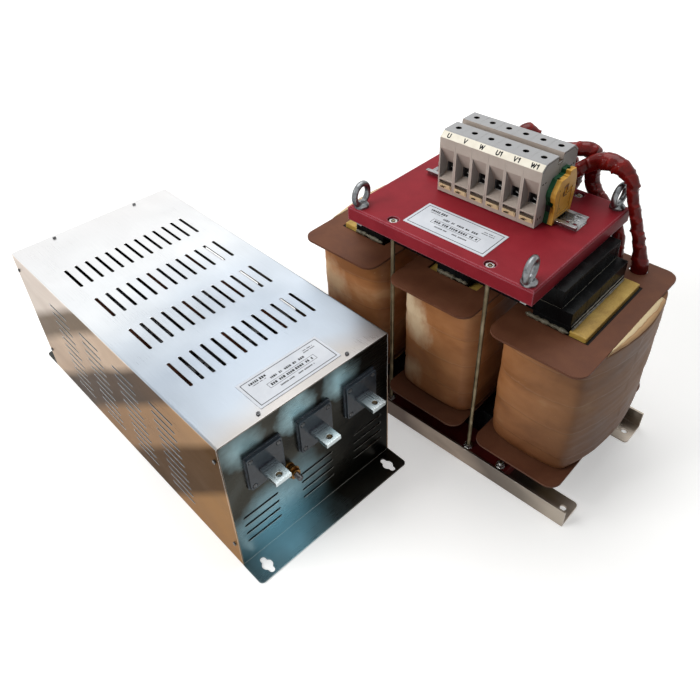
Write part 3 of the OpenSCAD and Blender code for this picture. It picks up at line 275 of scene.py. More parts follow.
# tones are dark, middle, light and worn
metals = {
    "platedSteel": {"tones": [(150, 149, 146), (196, 195, 192), (222, 221, 218), (240, 240, 238)],
        "roughness": (0.18, 0.36), "grain": 2.2, "patch": 9},
    "castRing": {"tones": [(82, 84, 86), (124, 126, 128), (152, 154, 156), (178, 180, 181)],
        "roughness": (0.22, 0.42), "grain": 1.4, "patch": 7, "depth": 0.09, "edge": 0.8},
    "passivatedRod": {"tones": [(74, 66, 50), (116, 104, 82), (146, 134, 112), (170, 160, 138)],
        "roughness": (0.28, 0.5), "grain": 3, "patch": 22, "stretch": (1, 1, 0.3), "depth": 0.01,
        "edge": 0.2},
    "mountingRail": {"tones": [(139, 139, 139), (172, 173, 174), (190, 191, 192), (238, 238, 238)],
        "roughness": (0.2, 0.36), "grain": 1.8, "patch": 12, "stretch": (0.1, 1, 1), "edge": 0.4},
    # its dark tones are partly painted shade, for the screws deep in the terminal wells
    "clampSteel": {"tones": [(58, 58, 60), (92, 92, 94), (130, 131, 133), (176, 176, 176)],
        "roughness": (0.25, 0.42), "grain": 1.5, "patch": 6, "edge": 0.4},
    "canAluminium": {"tones": [(84, 86, 90), (120, 122, 126), (150, 152, 156), (170, 172, 174)],
        "roughness": (0.3, 0.45), "grain": 1.6, "patch": 18, "stretch": (1, 1, 0.1)},
    "copperBar": {"tones": [(70, 44, 34), (104, 66, 50), (128, 84, 64), (150, 104, 82)],
        "roughness": (0.35, 0.5), "grain": 1.5, "patch": 16, "stretch": (0.15, 1, 1)},
    "shelfSteel": {"tones": [(84, 84, 84), (112, 112, 112), (136, 136, 136), (160, 160, 160)],
        "roughness": (0.32, 0.5), "grain": 1.8, "patch": 20, "stretch": (0.2, 1, 1)},
    "yellowPlated": {"tones": [(88, 58, 24), (132, 92, 42), (168, 122, 62), (196, 156, 98)],
        "roughness": (0.25, 0.4), "grain": 1.4, "patch": 7},
}
metalMade = {name: metalSurface(name, look) for name, look in metals.items()}


def coverReflectionTone(tree, look):
    place, height = alongBlock(tree), heightOf(tree)
    # painted reflection: the top is white at the rear and darker blue-grey towards the terminals
    top = ramp(tree, shifted(tree, place, 160, 0.3), look["top"])

    def mixed(share, rise, start):
        scaled = calculate(tree, "MULTIPLY_ADD", height, rise, start)
        return calculate(tree, "ADD", times(tree, place, share), scaled)
    # the near side has slanting bands, shaded and tan by turns: a painted reflection of the room in the bare
    # sheet
    over, under = look["slant"]
    slant = shifted(tree, calculate(tree, "DIVIDE", mixed(*over), mixed(*under)), 120, 0.02)
    stops, start = [], 0.0
    for end, colour in look["bands"]:
        stops += [(start, colour), (end - look["bandSoft"], colour)]
        start = end + look["bandSoft"]
    side = blendColour(tree, faceUp(tree, "Y"), ramp(tree, slant, stops), tone(*look["far"]))
    # tan patches on the side, part of the painted reflection
    patchy = cloud(tree, placeIn(tree, (0.4, 1, 1), blockShape["turn"]), 70, 3, 0.5, 0.6)
    side = blendColour(tree, spread(tree, patchy, 0.4, 0.7, (0, 0.25)), side, tone(*look["middle"]))
    return blendColour(tree, faceUp(tree), side, top)


def panelReflectionTone(tree, look):
    colour = ramp(tree, cloud(tree, placeIn(tree), 120, 3, 0.5, 0.6), look["panel"])
    # the spots are painted reflections on the sheet: a dark one in the middle, bright ones along the top and
    # cool ones low down
    for spot, reach, share, name in look["spots"]:
        waver = spread(tree, cloud(tree, placeIn(tree), reach * 0.7, 3), 0.25, 0.75, (-0.2, 0.2))
        near = raggedSpot(tree, spot, reach, share, waver)
        colour = blendColour(tree, near, colour, tone(*look[name]))
    return colour


def railReflectionTone(tree, look):
    # painted reflection: darker brown tones at the left end and lighter bands towards the right
    across = spread(tree, partOf(tree, pointOf(tree), "X"), -0.24, 0.24)
    return ramp(tree, shifted(tree, across, 70, 0.35, (0.5, 1, 1)), look["tones"])


def barTone(tree, look):
    return ramp(tree, shifted(tree, alongBlock(tree, 272, 306), 9, 0.12), look["tones"])


sheets = {
    "coverSheet": {
        # the top's stops, the side's bands and the tan middle patches are painted reflections; far is the
        # plain far side
        "top": [(0.0, (254, 254, 254)), (0.36, (248, 251, 253)), (0.56, (212, 220, 228)),
            (0.76, (172, 182, 193)), (0.9, (158, 166, 175)), (1.0, (150, 147, 144))],
        "bands": [(0.188, (238, 230, 222)), (0.263, (124, 113, 99)), (0.377, (220, 200, 180)),
            (0.487, (89, 83, 78)), (0.62, (180, 148, 116)), (0.773, (94, 74, 54)),
            (1.0, (186, 146, 102))], "bandSoft": 0.014,
        "slant": ((0.411, -1.483, 0.35), (-0.241, -0.458, 1.0)), "rim": (0.46, 0.42, 0.4),
        "middle": (138, 116, 98), "far": (196, 184, 170), "worn": (232, 234, 236),
        "stretch": (0.02, 1, 1), "grain": 0.9, "roughness": (0.24, 0.4), "edge": 1.2, "depth": 0.012},
    "panelSheet": {"panel": [(0.25, (38, 38, 37)), (0.5, (66, 65, 60)), (0.75, (88, 91, 89))],
        # its dark, cool and bright spots are painted reflections
        "rim": (0.5, 0.5, 0.5), "dark": (17, 17, 18), "cool": (158, 196, 208), "bright": (172, 206, 214),
        "spots": [((-24, -180, 110), 140, 0.9, "dark"), ((-36, -410, 210), 36, 0.6, "bright"),
            ((-31, -329, 210), 36, 1.1, "bright"), ((-27, -258, 210), 36, 1.1, "bright"),
            ((-34, -365, 50), 84, 0.95, "cool"), ((-14, -385, 0), 108, 0.9, "cool")],
        "worn": (176, 176, 170), "stretch": (1, 0.02, 1), "grain": 0.9, "roughness": (0.22, 0.36),
        "edge": 0.8, "depth": 0.012},
    "galvanisedRail": {
        # these tones along X are a painted reflection
        "tones": [(0.0, (96, 82, 74)), (0.4, (104, 90, 82)), (0.6, (170, 154, 140)),
            (0.72, (118, 108, 100)), (0.88, (130, 121, 111)), (1.0, (180, 169, 156))],
        "worn": (210, 206, 198), "stretch": (0.03, 1, 1), "grain": 1.2, "roughness": (0.24, 0.42),
        "edge": 0.6, "depth": 0.012},
    "tinnedBar": {
        "tones": [(0.0, (96, 100, 110)), (0.08, (112, 116, 126)), (0.16, (162, 176, 184)),
            (0.5, (186, 204, 210)), (1.0, (196, 206, 208))], "worn": (238, 240, 238),
        "stretch": (0.03, 1, 1), "grain": 0.8, "roughness": (0.2, 0.34), "edge": 0.5, "depth": 0.012},
}
toneOf = {"coverSheet": coverReflectionTone, "panelSheet": panelReflectionTone, "galvanisedRail": railReflectionTone, "tinnedBar": barTone}
for name, look in sheets.items():
    metalMade[name] = metalSurface(name, look, toneOf[name])
print("metals ready:", len(metalMade))


# laminates, plastics, paper and varnish

def mouldedSurface(name, finish):
    # "up" is the tone of top faces, "end" of faces towards +X, both painted light for how light falls on
    # them; "across" a ramp over the mark of that name
    material, tree, shader = startMaterial(name, specular=finish.get("specular", 0.3))
    dark, middle, light, worn = finish["tones"]
    blotch = cloud(tree, placeIn(tree), finish["patch"], 5, 0.6, 0.4)
    fine = cloud(tree, placeIn(tree, finish.get("stretch", (1, 1, 1))), finish["grain"], 5, 0.65)
    both = weighed(tree, blotch, fine, 0.6)
    colour = ramp(tree, both, [(0.3, dark), (0.5, middle), (0.7, light)])
    # painted light: top faces high on the part and the +X ends get their own tones
    if "up" in finish:
        above = spread(tree, heightOf(tree), 0.4, 0.41, (0, 0.9))
        colour = blendColour(tree, times(tree, faceUp(tree), above), colour, tone(*finish["up"]))
        colour = blendColour(tree, faceUp(tree, "X"), colour, tone(*finish["end"]))
    if "across" in finish:
        place = calculate(tree, "ADD", markOf(tree, "across"), spread(tree, blotch, 0.3, 0.7, (-0.1, 0.1)))
        colour = blendColour(tree, 0.8, colour, ramp(tree, place, finish["across"]))
    rounded = softEdge(tree, finish.get("edge", 0.4))
    broken = spread(tree, cloud(tree, placeIn(tree), 6, 6, 0.7), *finish.get("broken", (0.38, 0.6)))
    share = times(tree, times(tree, edgeShare(tree, rounded), broken), finish.get("wear", 0.5))
    wire(tree, blendColour(tree, share, colour, tone(*worn)), shader, "Base Color")
    wire(tree, spread(tree, both, 0.3, 0.7, finish["roughness"]), shader, "Roughness")
    wire(tree, relief(tree, fine, finish["depth"], 0.8, rounded), shader, "Normal")
    return material


surfaces = {
    # the worn tone along the plate's broad rounded edges is partly wear and partly a painted highlight on
    # the bevel
    "topLaminate": {"tones": [(108, 20, 29), (126, 28, 38), (140, 38, 47), (170, 112, 122)],
        "roughness": (0.38, 0.52), "grain": 1.1, "patch": 60, "depth": 0.05, "edge": 2.6, "wear": 0.85,
        "broken": (0.2, 0.5), "specular": 0.1},
    "bottomLaminate": {"tones": [(52, 11, 11), (74, 18, 17), (98, 28, 26), (136, 66, 60)],
        "roughness": (0.28, 0.45), "grain": 1.4, "patch": 50, "depth": 0.05, "edge": 1.2, "wear": 0.4},
    "glassFibre": {"tones": [(137, 105, 45), (168, 137, 65), (186, 159, 85), (188, 170, 112)],
        "roughness": (0.32, 0.5), "grain": 1.0, "patch": 30, "depth": 0.03, "edge": 0.8, "wear": 0.6,
        "stretch": (1, 0.25, 1)},
    "beamFibre": {"tones": [(60, 52, 40), (84, 74, 58), (104, 94, 76), (120, 110, 92)],
        "roughness": (0.4, 0.6), "grain": 1.0, "patch": 20, "depth": 0.04},
    "gapPlate": {"tones": [(170, 154, 98), (206, 192, 132), (224, 212, 160), (230, 222, 180)],
        "roughness": (0.4, 0.6), "grain": 1.0, "patch": 14, "depth": 0.04},
    "pressboard": {"tones": [(76, 43, 29), (92, 56, 38), (108, 70, 50), (60, 33, 24)],
        "roughness": (0.5, 0.68), "grain": 0.9, "patch": 44, "depth": 0.05, "edge": 0.9, "wear": 0.8,
        "specular": 0.2},
    "terminalPlastic": {"tones": [(162, 150, 140), (172, 160, 150), (182, 171, 161), (196, 188, 180)],
        # the grey tops and ends against the warm fronts are painted light
        "up": (148, 150, 152), "end": (158, 158, 156), "roughness": (0.38, 0.5), "grain": 0.5,
        "patch": 26, "depth": 0.015, "edge": 0.5},
    "catchPlastic": {"tones": [(188, 164, 126), (204, 182, 144), (216, 196, 160), (224, 208, 178)],
        "roughness": (0.35, 0.5), "grain": 0.6, "patch": 10, "depth": 0.015},
    "markerPlastic": {"tones": [(210, 203, 187), (220, 214, 199), (230, 225, 211), (230, 226, 214)],
        "roughness": (0.4, 0.5), "grain": 0.6, "patch": 16, "depth": 0.01, "edge": 0.3},
    "earthGreen": {"tones": [(16, 62, 37), (26, 84, 52), (42, 104, 68), (84, 136, 104)],
        "roughness": (0.34, 0.48), "grain": 0.6, "patch": 14, "depth": 0.015},
    "earthYellow": {"tones": [(190, 136, 44), (214, 162, 64), (226, 180, 88), (234, 204, 132)],
        "roughness": (0.34, 0.48), "grain": 0.6, "patch": 14, "depth": 0.015},
    "earthShade": {"tones": [(92, 62, 26), (112, 78, 34), (134, 96, 44), (170, 128, 62)],
        "roughness": (0.4, 0.5), "grain": 0.6, "patch": 10, "depth": 0.01, "edge": 0.1},
    # the fourth tone, on the edges, is a painted blue-grey highlight on the chamfers
    "insulatorPlastic": {"tones": [(40, 44, 50), (50, 57, 65), (63, 70, 79), (112, 134, 148)],
        "roughness": (0.13, 0.26), "grain": 0.5, "patch": 18, "depth": 0.02, "edge": 0.9, "wear": 0.7},
    "labelFoil": {"tones": [(182, 187, 194), (194, 198, 204), (206, 210, 215), (218, 221, 225)],
        "roughness": (0.3, 0.42), "grain": 0.8, "patch": 30, "depth": 0.01, "edge": 0.2},
    "printInk": {"tones": [(18, 18, 20), (28, 28, 30), (42, 42, 46), (60, 60, 64)],
        "roughness": (0.45, 0.6), "grain": 0.5, "patch": 10, "depth": 0.005, "edge": 0.1,
        "specular": 0.15},
    "jointResin": {"tones": [(48, 44, 34), (84, 80, 66), (122, 118, 104), (172, 170, 158)],
        "roughness": (0.2, 0.4), "grain": 2.2, "patch": 9, "depth": 0.2, "specular": 0.4},
    "clearVarnish": {"tones": [(48, 44, 32), (88, 82, 62), (138, 132, 112), (200, 198, 190)],
        "roughness": (0.04, 0.14), "grain": 3, "patch": 7, "depth": 0.1, "edge": 0.2, "specular": 1.0},
    "ledgeShade": {"tones": [(64, 54, 45), (78, 66, 56), (92, 79, 68), (120, 106, 94)],
        "roughness": (0.5, 0.7), "grain": 1, "patch": 8, "depth": 0.02, "edge": 0.2, "specular": 0.1},
    # near-black for seams, and painted shade in slots, wells, holes and gaps
    "darkSeamAndPaintedShade": {"tones": [(12, 12, 11), (22, 21, 20), (34, 32, 30), (48, 46, 44)],
        "roughness": (0.5, 0.7), "grain": 1, "patch": 8, "depth": 0.02, "edge": 0.1, "specular": 0.1},
    "cuffPaper": {"tones": [(172, 128, 86), (204, 180, 140), (214, 194, 152), (132, 78, 44)],
        "roughness": (0.45, 0.65), "grain": 1.2, "patch": 22, "depth": 0.06, "stretch": (1, 0.2, 1),
        "edge": 0.7, "wear": 0.7, "specular": 0.2,
        "across": [(0.0, (204, 186, 148)), (0.5, (204, 184, 146)), (0.57, (150, 98, 60)),
            (0.64, (184, 144, 102)), (1.0, (166, 124, 86))]},
}
surfaceMade = {name: mouldedSurface(name, finish) for name, finish in surfaces.items()}


coreLook = {
    "colour": (11, 13, 14), "dark": (7, 7, 8), "light": (18, 22, 25), "dust": (58, 56, 48),
    "run": 26, "depth": 0.35, "roughness": (0.18, 0.32),
}


def coreVarnish(look):
    material, tree, shader = startMaterial("coreVarnish", specular=0.1)
    runs = cloud(tree, placeIn(tree, (1, 1, 0.35)), look["run"], 3, 0.5, 0.8)
    dust = cloud(tree, placeIn(tree), 2.2, 8, 0.75)
    colour = ramp(tree, runs, [(0.3, look["dark"]), (0.6, look["colour"]), (0.85, look["light"])])
    colour = blendColour(tree, spread(tree, dust, 0.66, 0.78, (0, 0.15)), colour, tone(*look["dust"]))
    wire(tree, colour, shader, "Base Color")
    wire(tree, spread(tree, runs, 0.3, 0.7, look["roughness"]), shader, "Roughness")
    dusty = relief(tree, dust, 0.03, 0.4, softEdge(tree, 1.4))
    wire(tree, relief(tree, runs, look["depth"], 0.5, dusty), shader, "Normal")
    return material


windingLook = {
    # lip is a painted highlight on the wraps' edges, under a painted shadow below them
    "colour": (152, 101, 62), "dark": (134, 86, 50), "warm": (164, 112, 72), "pale": (186, 140, 99),
    "speck": (214, 184, 146), "foot": (150, 106, 78), "lipHighlight": (206, 170, 130), "under": (92, 56, 34),
    "paleTone": (206, 184, 152), "patch": 70, "streak": 22, "spot": 9, "roughness": (0.42, 0.62),
    "paintedShadeTone": (178, 184, 190),
    # in metres: along X for the painted shade on the right winding, and up for the painted shade at the foot
    "paintedRightShade": (0.09, 0.235), "footFade": (0.078, 0.15),
    # place, reach and share of the pale spots
    "paleSpots": [((-50, -104, 228), 42, 1.0), ((-30, -108, 196), 34, 0.8), ((-40, -106, 110), 30, 0.5),
                  ((-190, -100, 200), 40, 0.6)],
}


def windingPaper(look):
    material, tree, shader = startMaterial("windingPaper", specular=0.22)
    soak = cloud(tree, placeIn(tree, (1, 1, 1.3)), look["patch"], 4, 0.55, 0.4)
    streaks = cloud(tree, placeIn(tree, (0.25, 0.25, 1)), look["streak"], 3, 0.5, 0.3)
    both = weighed(tree, soak, streaks, 0.75)
    both = calculate(tree, "ADD", both, times(tree, markOf(tree, "tint"), 0.09))
    colour = ramp(tree, both, [(0.36, look["dark"]), (0.48, look["colour"]), (0.6, look["warm"]),
                               (0.72, look["pale"])])
    # a painted highlight along each wrap's proud lower edge and a painted shadow just under the next wrap's
    # edge
    for mark, share in (("lipHighlight", 0.15), ("under", 0.24)):
        colour = blendColour(tree, times(tree, markOf(tree, mark), share), colour, tone(*look[mark]))
    spots = add(tree, "TexVoronoi", {"Vector": placeIn(tree), "Scale": 1 / (look["spot"] * mm)})
    near = spread(tree, spots.outputs["Distance"], 0.09, 0.04)
    few = spread(tree, cloud(tree, placeIn(tree), 26, 2), 0.52, 0.64, (0, 0.4))
    colour = blendColour(tree, times(tree, near, few), colour, tone(*look["speck"]))
    # painted shade: the right winding darkens towards its +X side
    paintedRightShade = spread(tree, partOf(tree, pointOf(tree), "X"), *look["paintedRightShade"])
    colour = blendColour(tree, paintedRightShade, colour, tone(*look["paintedShadeTone"]), "MULTIPLY")
    # painted shade: darker towards the bottom of each winding
    fade = spread(tree, heightOf(tree), *look["footFade"], (0.55, 0.0))
    colour = blendColour(tree, fade, colour, tone(*look["foot"]), "MULTIPLY")
    # lighter spots painted on the paper
    for spot, reach, share in look["paleSpots"]:
        waver = spread(tree, cloud(tree, placeIn(tree, (1, 1, 0.6)), 18, 4, 0.6), 0.2, 0.8, (-0.4, 0.4))
        pale = raggedSpot(tree, spot, reach, share, waver, 0.2)
        colour = blendColour(tree, pale, colour, tone(*look["paleTone"]))
    wire(tree, colour, shader, "Base Color")
    wire(tree, spread(tree, both, 0.3, 0.7, look["roughness"]), shader, "Roughness")
    fibre = cloud(tree, placeIn(tree, (0.6, 0.6, 1)), 1.1, 6, 0.7)
    crease = cloud(tree, placeIn(tree, (0.5, 0.5, 1)), 12, 4, 0.5, 0.5)
    wire(tree, relief(tree, crease, 0.3, 0.5, relief(tree, fibre, 0.04, 0.6)), shader, "Normal")
    return material


leadLook = {
    "colour": (94, 13, 11), "dark": (54, 7, 6), "light": (124, 24, 20), "patch": 14,
    "roughness": (0.12, 0.26), "coat": 0.18, "coatRoughness": 0.09,
}


def leadTape(look):
    material, tree, shader = startMaterial("leadTape", specular=0.1)
    shader.inputs["Coat Weight"].default_value = look["coat"]
    shader.inputs["Coat Roughness"].default_value = look["coatRoughness"]
    stain = cloud(tree, placeIn(tree), look["patch"], 5, 0.6, 0.5)
    # lighter on the tape's raised steps and knots and darker in the hollows between: painted shade in the
    # hollows
    both = weighed(tree, stain, markOf(tree, "ridgeShade"), 0.5)
    colour = ramp(tree, both, [(0.22, look["dark"]), (0.5, look["colour"]), (0.8, look["light"])])
    wire(tree, colour, shader, "Base Color")
    wire(tree, spread(tree, stain, 0.3, 0.7, look["roughness"]), shader, "Roughness")
    wire(tree, relief(tree, cloud(tree, placeIn(tree), 1.6, 5, 0.65), 0.18, 0.7), shader, "Normal")
    return material


surfaceMade["coreVarnish"] = coreVarnish(coreLook)
surfaceMade["windingPaper"] = windingPaper(windingLook)
surfaceMade["leadTape"] = leadTape(leadLook)


print("surfaces ready:", len(surfaceMade))

places = ("left", "middle", "right")
nodeFinish = {
    "galvanisedRail": ["front_rail", "rear_rail"],
    "platedSteel": ["rail_screws", "plate_nuts", "eyebolt_nuts", "din_rail_screws"],
    "yellowPlated": ["earth_stud_nuts"],
    "beamFibre": ["cross_beams"],
    "castRing": ["eyebolts"],
    "passivatedRod": ["tie_rods"],
    "mountingRail": ["din_rail"],
    "clampSteel": ["terminal_cages", "terminal_screws", "earth_stud", "block_screws"],
    "tinnedBar": ["terminal_bars"],
    "canAluminium": ["capacitor_cans"],
    "copperBar": ["phase_bars"],
    "shelfSteel": ["can_shelf", "base_sheet"],
    "coverSheet": ["block_cover"],
    "panelSheet": ["front_panel", "rear_panel"],
    "topLaminate": ["top_plate"],
    "bottomLaminate": ["bottom_plate"],
    "coreVarnish": ["top_yoke_outer", "top_yoke_inner", "bottom_yoke_inner", "bottom_yoke_outer",
                    *["limb_" + place for place in places]],
    "gapPlate": ["gap_plates"],
    "glassFibre": ["limb_wedges", "coil_supports"],
    "windingPaper": ["coil_" + place for place in places],
    "cuffPaper": ["coil_cuffs"],
    "pressboard": [level + "_flange_" + place for level in ("top", "bottom") for place in places],
    "leadTape": ["lead_" + phase for phase in ("u", "v", "w", "u1", "v1", "w1")],
    "terminalPlastic": ["terminal_bodies"],
    "catchPlastic": ["terminal_feet"],
    "markerPlastic": ["marker_strip"],
    "earthGreen": ["earth_terminal_green"],
    "earthYellow": ["earth_terminal_yellow"],
    "insulatorPlastic": ["insulators"],
    "labelFoil": ["choke_label", "block_label"],
}
made = {**metalMade, **surfaceMade}
for finishName, members in nodeFinish.items():
    for member in members:
        mesh = nodes[member].data
        mesh.materials.clear()
        mesh.materials.append(made[finishName])
print("nodes finished:", sum(len(m) for m in nodeFinish.values()))


# helpers for pieces

def placePiece(name, mesh, finish, replaced, smooth):
    mesh.materials.append(made[finish])
    mesh.polygons.foreach_set("use_smooth", [smooth] * len(mesh.polygons))
    piece = bpy.data.objects.new(name, mesh)
    scene.collection.objects.link(piece)
    if replaced:
        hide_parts(*replaced)
    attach(piece, "root")
    return piece


def makePiece(name, points, faces, finish, replaced=(), marks=None):
    # points are in metres, in the part's frame; a mark is one number for each point
    mesh = bpy.data.meshes.new(name)
    mesh.from_pydata([tuple(p) for p in points], [], faces)
    for key, values in (marks or {}).items():
        mesh.attributes.new(key, "FLOAT", "POINT").data.foreach_set("value", values)
    mesh.update()
    return placePiece(name, mesh, finish, replaced, True)


def softBox(builder, centre, size, radius=0, turn=None):
    # adds a box to a bmesh, in millimetres, its edges rounded to the radius
    before = set(builder.verts)
    bmesh.ops.create_cube(builder, size=1)
    fresh = [v for v in builder.verts if v not in before]
    for vert in fresh:
        vert.co = [c * s for c, s in zip(vert.co, size)]
    if radius:
        edges = list(dict.fromkeys(e for v in fresh for e in v.link_edges))
        bmesh.ops.bevel(builder, geom=edges, offset=radius, segments=2, profile=0.5, affect="EDGES")
    for vert in builder.verts:
        if vert not in before:
            place = vert.co if turn is None else turn @ vert.co
            vert.co = (place + Vector(centre)) * mm


def finishBuilder(builder, name, finish, replaced=()):
    mesh = bpy.data.meshes.new(name)
    builder.to_mesh(mesh)
    builder.free()
    return placePiece(name, mesh, finish, replaced, False)


def ringFaces(rows, sides, start=0):
    # the quads between rings of points, each ring with as many points as sides
    corners = ((0, 0), (0, 1), (1, 1), (1, 0))
    return [tuple(start + (r + up) * sides + (k + on) % sides for up, on in corners)
            for r in range(rows) for k in range(sides)]


def tubeFaces(rows, sides):
    ends = [tuple(range(sides - 1, -1, -1)), tuple(range(rows * sides, (rows + 1) * sides))]
    return ringFaces(rows, sides) + ends


def tubeAlong(path, radii, sides, bumpFor=None):
    # rings along the path with a frame that doesn't twist; bumpFor(length, angle) adds to the radius
    points, ridges, length = [], [], 0.0
    last = len(path) - 1
    ways = [(path[min(i + 1, last)] - path[max(i - 1, 0)]).normalized() for i in range(last + 1)]
    side = ways[0].orthogonal().normalized()
    for i, (place, way) in enumerate(zip(path, ways)):
        if i:
            length += (place - path[i - 1]).length
        side = (side - way * side.dot(way)).normalized()
        other = way.cross(side)
        for k in range(sides):
            angle = 2 * math.pi * k / sides
            extra = bumpFor(length, angle) if bumpFor else 0.0
            ridges.append(max(0.0, min(1.0, 0.5 + extra * 0.45)))
            points.append(place + (radii[i] + extra) * (math.cos(angle) * side + math.sin(angle) * other))
    return [p * mm for p in points], tubeFaces(last, sides), ridges


def smoothRoute(points, steps):
    # Catmull-Rom through points of any size
    out = []
    last = len(points) - 1
    for i in range(last):
        a, b, c, d = (points[max(0, min(last, j))] for j in (i - 1, i, i + 1, i + 2))
        for k in range(steps):
            t = k / steps
            out.append([0.5 * (2 * q + (r - p) * t + (2 * p - 5 * q + 4 * r - s) * t * t
                               + (3 * q - p - 3 * r + s) * t ** 3) for p, q, r, s in zip(a, b, c, d)])
    out.append(list(points[last]))
    return out


# windings

windingShape = {
    "pitch": 157.5, "width": 130, "depth": 212, "corner": 34, "crown": 260,
    "swell": 13, "swellRadius": 300, "swellPlace": 15,
    "window": (80, 144), "around": 240, "rows": 170, "rays": 1440, "halvings": 26, "soften": 15,
    "band": 47, "bandTilt": 0.035, "bandStep": 0.6, "wave": 1.2, "most": 0.9,
    "footRound": (12, 5.5), "topRound": (3, 1.6),
}


def insideWinding(x, y, swell, shape):
    halfW, halfD, corner = (shape["width"] + swell) / 2, shape["depth"] / 2, shape["corner"]
    dx = max(0, abs(x - swell / 2) - (halfW - corner))
    dy = max(0, abs(y) - (halfD - corner))
    if dx * dx + dy * dy > corner * corner:
        return False
    if math.hypot(x, abs(y) + shape["crown"] - halfD) > shape["crown"]:
        return False
    centre = shape["width"] / 2 + swell - shape["swellRadius"]
    return not swell or math.hypot(x - centre, y - shape["swellPlace"]) <= shape["swellRadius"]


def windingOutline(swell, shape):
    # even points round the winding, and the way round it
    rays, count = [], shape["around"]
    for i in range(shape["rays"]):
        angle = 2 * math.pi * i / shape["rays"]
        low, high = 10.0, 200.0
        for _ in range(shape["halvings"]):
            mid = (low + high) / 2
            if insideWinding(mid * math.cos(angle), mid * math.sin(angle), swell, shape):
                low = mid
            else:
                high = mid
        rays.append(Vector((low * math.cos(angle), low * math.sin(angle))))
    rays.append(rays[0])
    total = [0.0]
    for a, b in zip(rays, rays[1:]):
        total.append(total[-1] + (b - a).length)
    out, j = [], 0
    for i in range(count):
        target = total[-1] * i / count
        while total[j + 1] < target:
            j += 1
        out.append(rays[j].lerp(rays[j + 1], (target - total[j]) / (total[j + 1] - total[j])))
    for _ in range(shape["soften"] if swell else 1):
        out = [(out[i - 1] + 2 * out[i] + out[(i + 1) % count]) / 4 for i in range(count)]
    return out, total[-1]


def drawnIn(gap, rounding):
    # how far a rounded end draws in at the gap from it
    reach, depth = rounding
    t = max(0, 1 - gap / reach)
    return depth * (1 - math.sqrt(max(0, 1 - t * t)))


def makeWinding(member, side, seed, shape=windingShape):
    low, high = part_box(member)
    bottom, top = low.z / mm, high.z / mm
    centreX = side * shape["pitch"]
    flip = -1 if side < 0 else 1
    count, rows, band = shape["around"], shape["rows"], shape["band"]
    outline, around = windingOutline(shape["swell"] if side else 0, shape)
    normals = [(outline[(i + 1) % count] - outline[i - 1]).normalized() for i in range(count)]
    points, tints, lips, underShadows = [], [], [], []
    for r in range(rows + 1):
        h = (top - bottom) * r / rows
        z = bottom + h
        for i, (place, normal) in enumerate(zip(outline, normals)):
            s = around * i / count
            # the place in the wraps: whole number is the wrap, rest the way up it
            waver = 9 * noise.noise(Vector((s * 0.008, seed, h * 0.01)))
            wrap, frac = divmod((h + seed * 17 + s * shape["bandTilt"] + waver) / band, 1)
            tints.append(noise.noise(Vector((wrap * 3.7, seed * 2.3, 0.4))))
            # marks for a painted highlight on the proud edge and a painted shadow under the next wrap
            lips.append(math.exp(-(frac * band / 1.3) ** 2))
            underShadows.append(math.exp(-((1 - frac) * band / 1.5) ** 2))
            push = -shape["bandStep"] * frac
            waveSpot = Vector((place.x * 0.016, place.y * 0.016, z * 0.02 + seed * 9))
            push += shape["wave"] * noise.noise(waveSpot)
            push += 0.45 * noise.noise(Vector((s * 0.02, z * 0.11, seed * 5.0)))
            push += max(0.0, noise.noise(Vector((s * 0.05 + z * 0.03, z * 0.02, seed * 3.0 + 7))) - 0.25)
            push -= drawnIn(h, shape["footRound"]) + drawnIn(top - z, shape["topRound"])
            push = min(push, shape["most"])
            x, y = place.x + normal.y * push, place.y - normal.x * push
            points.append(Vector((centreX + flip * x, y, z)) * mm)
    halfW, halfD = shape["window"][0] / 2, shape["window"][1] / 2
    for z in (bottom, top):
        for place in outline:
            angle = math.atan2(place.y / halfD, place.x / halfW)
            c, s = math.cos(angle), math.sin(angle)
            k = 1 / max(abs(c), abs(s))
            points.append(Vector((centreX + flip * halfW * c * k, halfD * s * k, z)) * mm)
    faces = ringFaces(rows, count)
    last, innerLow, innerTop = rows * count, (rows + 1) * count, (rows + 2) * count
    for a, b in ((last, innerTop), (innerTop, innerLow), (innerLow, 0)):
        faces += [(a + i, a + (i + 1) % count, b + (i + 1) % count, b + i) for i in range(count)]
    if flip < 0:
        faces = [f[::-1] for f in faces]
    marks = {"tint": tints, "lipHighlight": lips, "under": underShadows}
    for values in marks.values():
        values += [0.0] * (len(points) - len(values))
    name = member.replace("coil", "winding")
    makePiece(name, points, faces, "windingPaper", [member], marks)


for side, place in zip((-1, 0, 1), places):
    makeWinding("coil_" + place, side, side + 2)


print("windings wrapped")


# taped leads

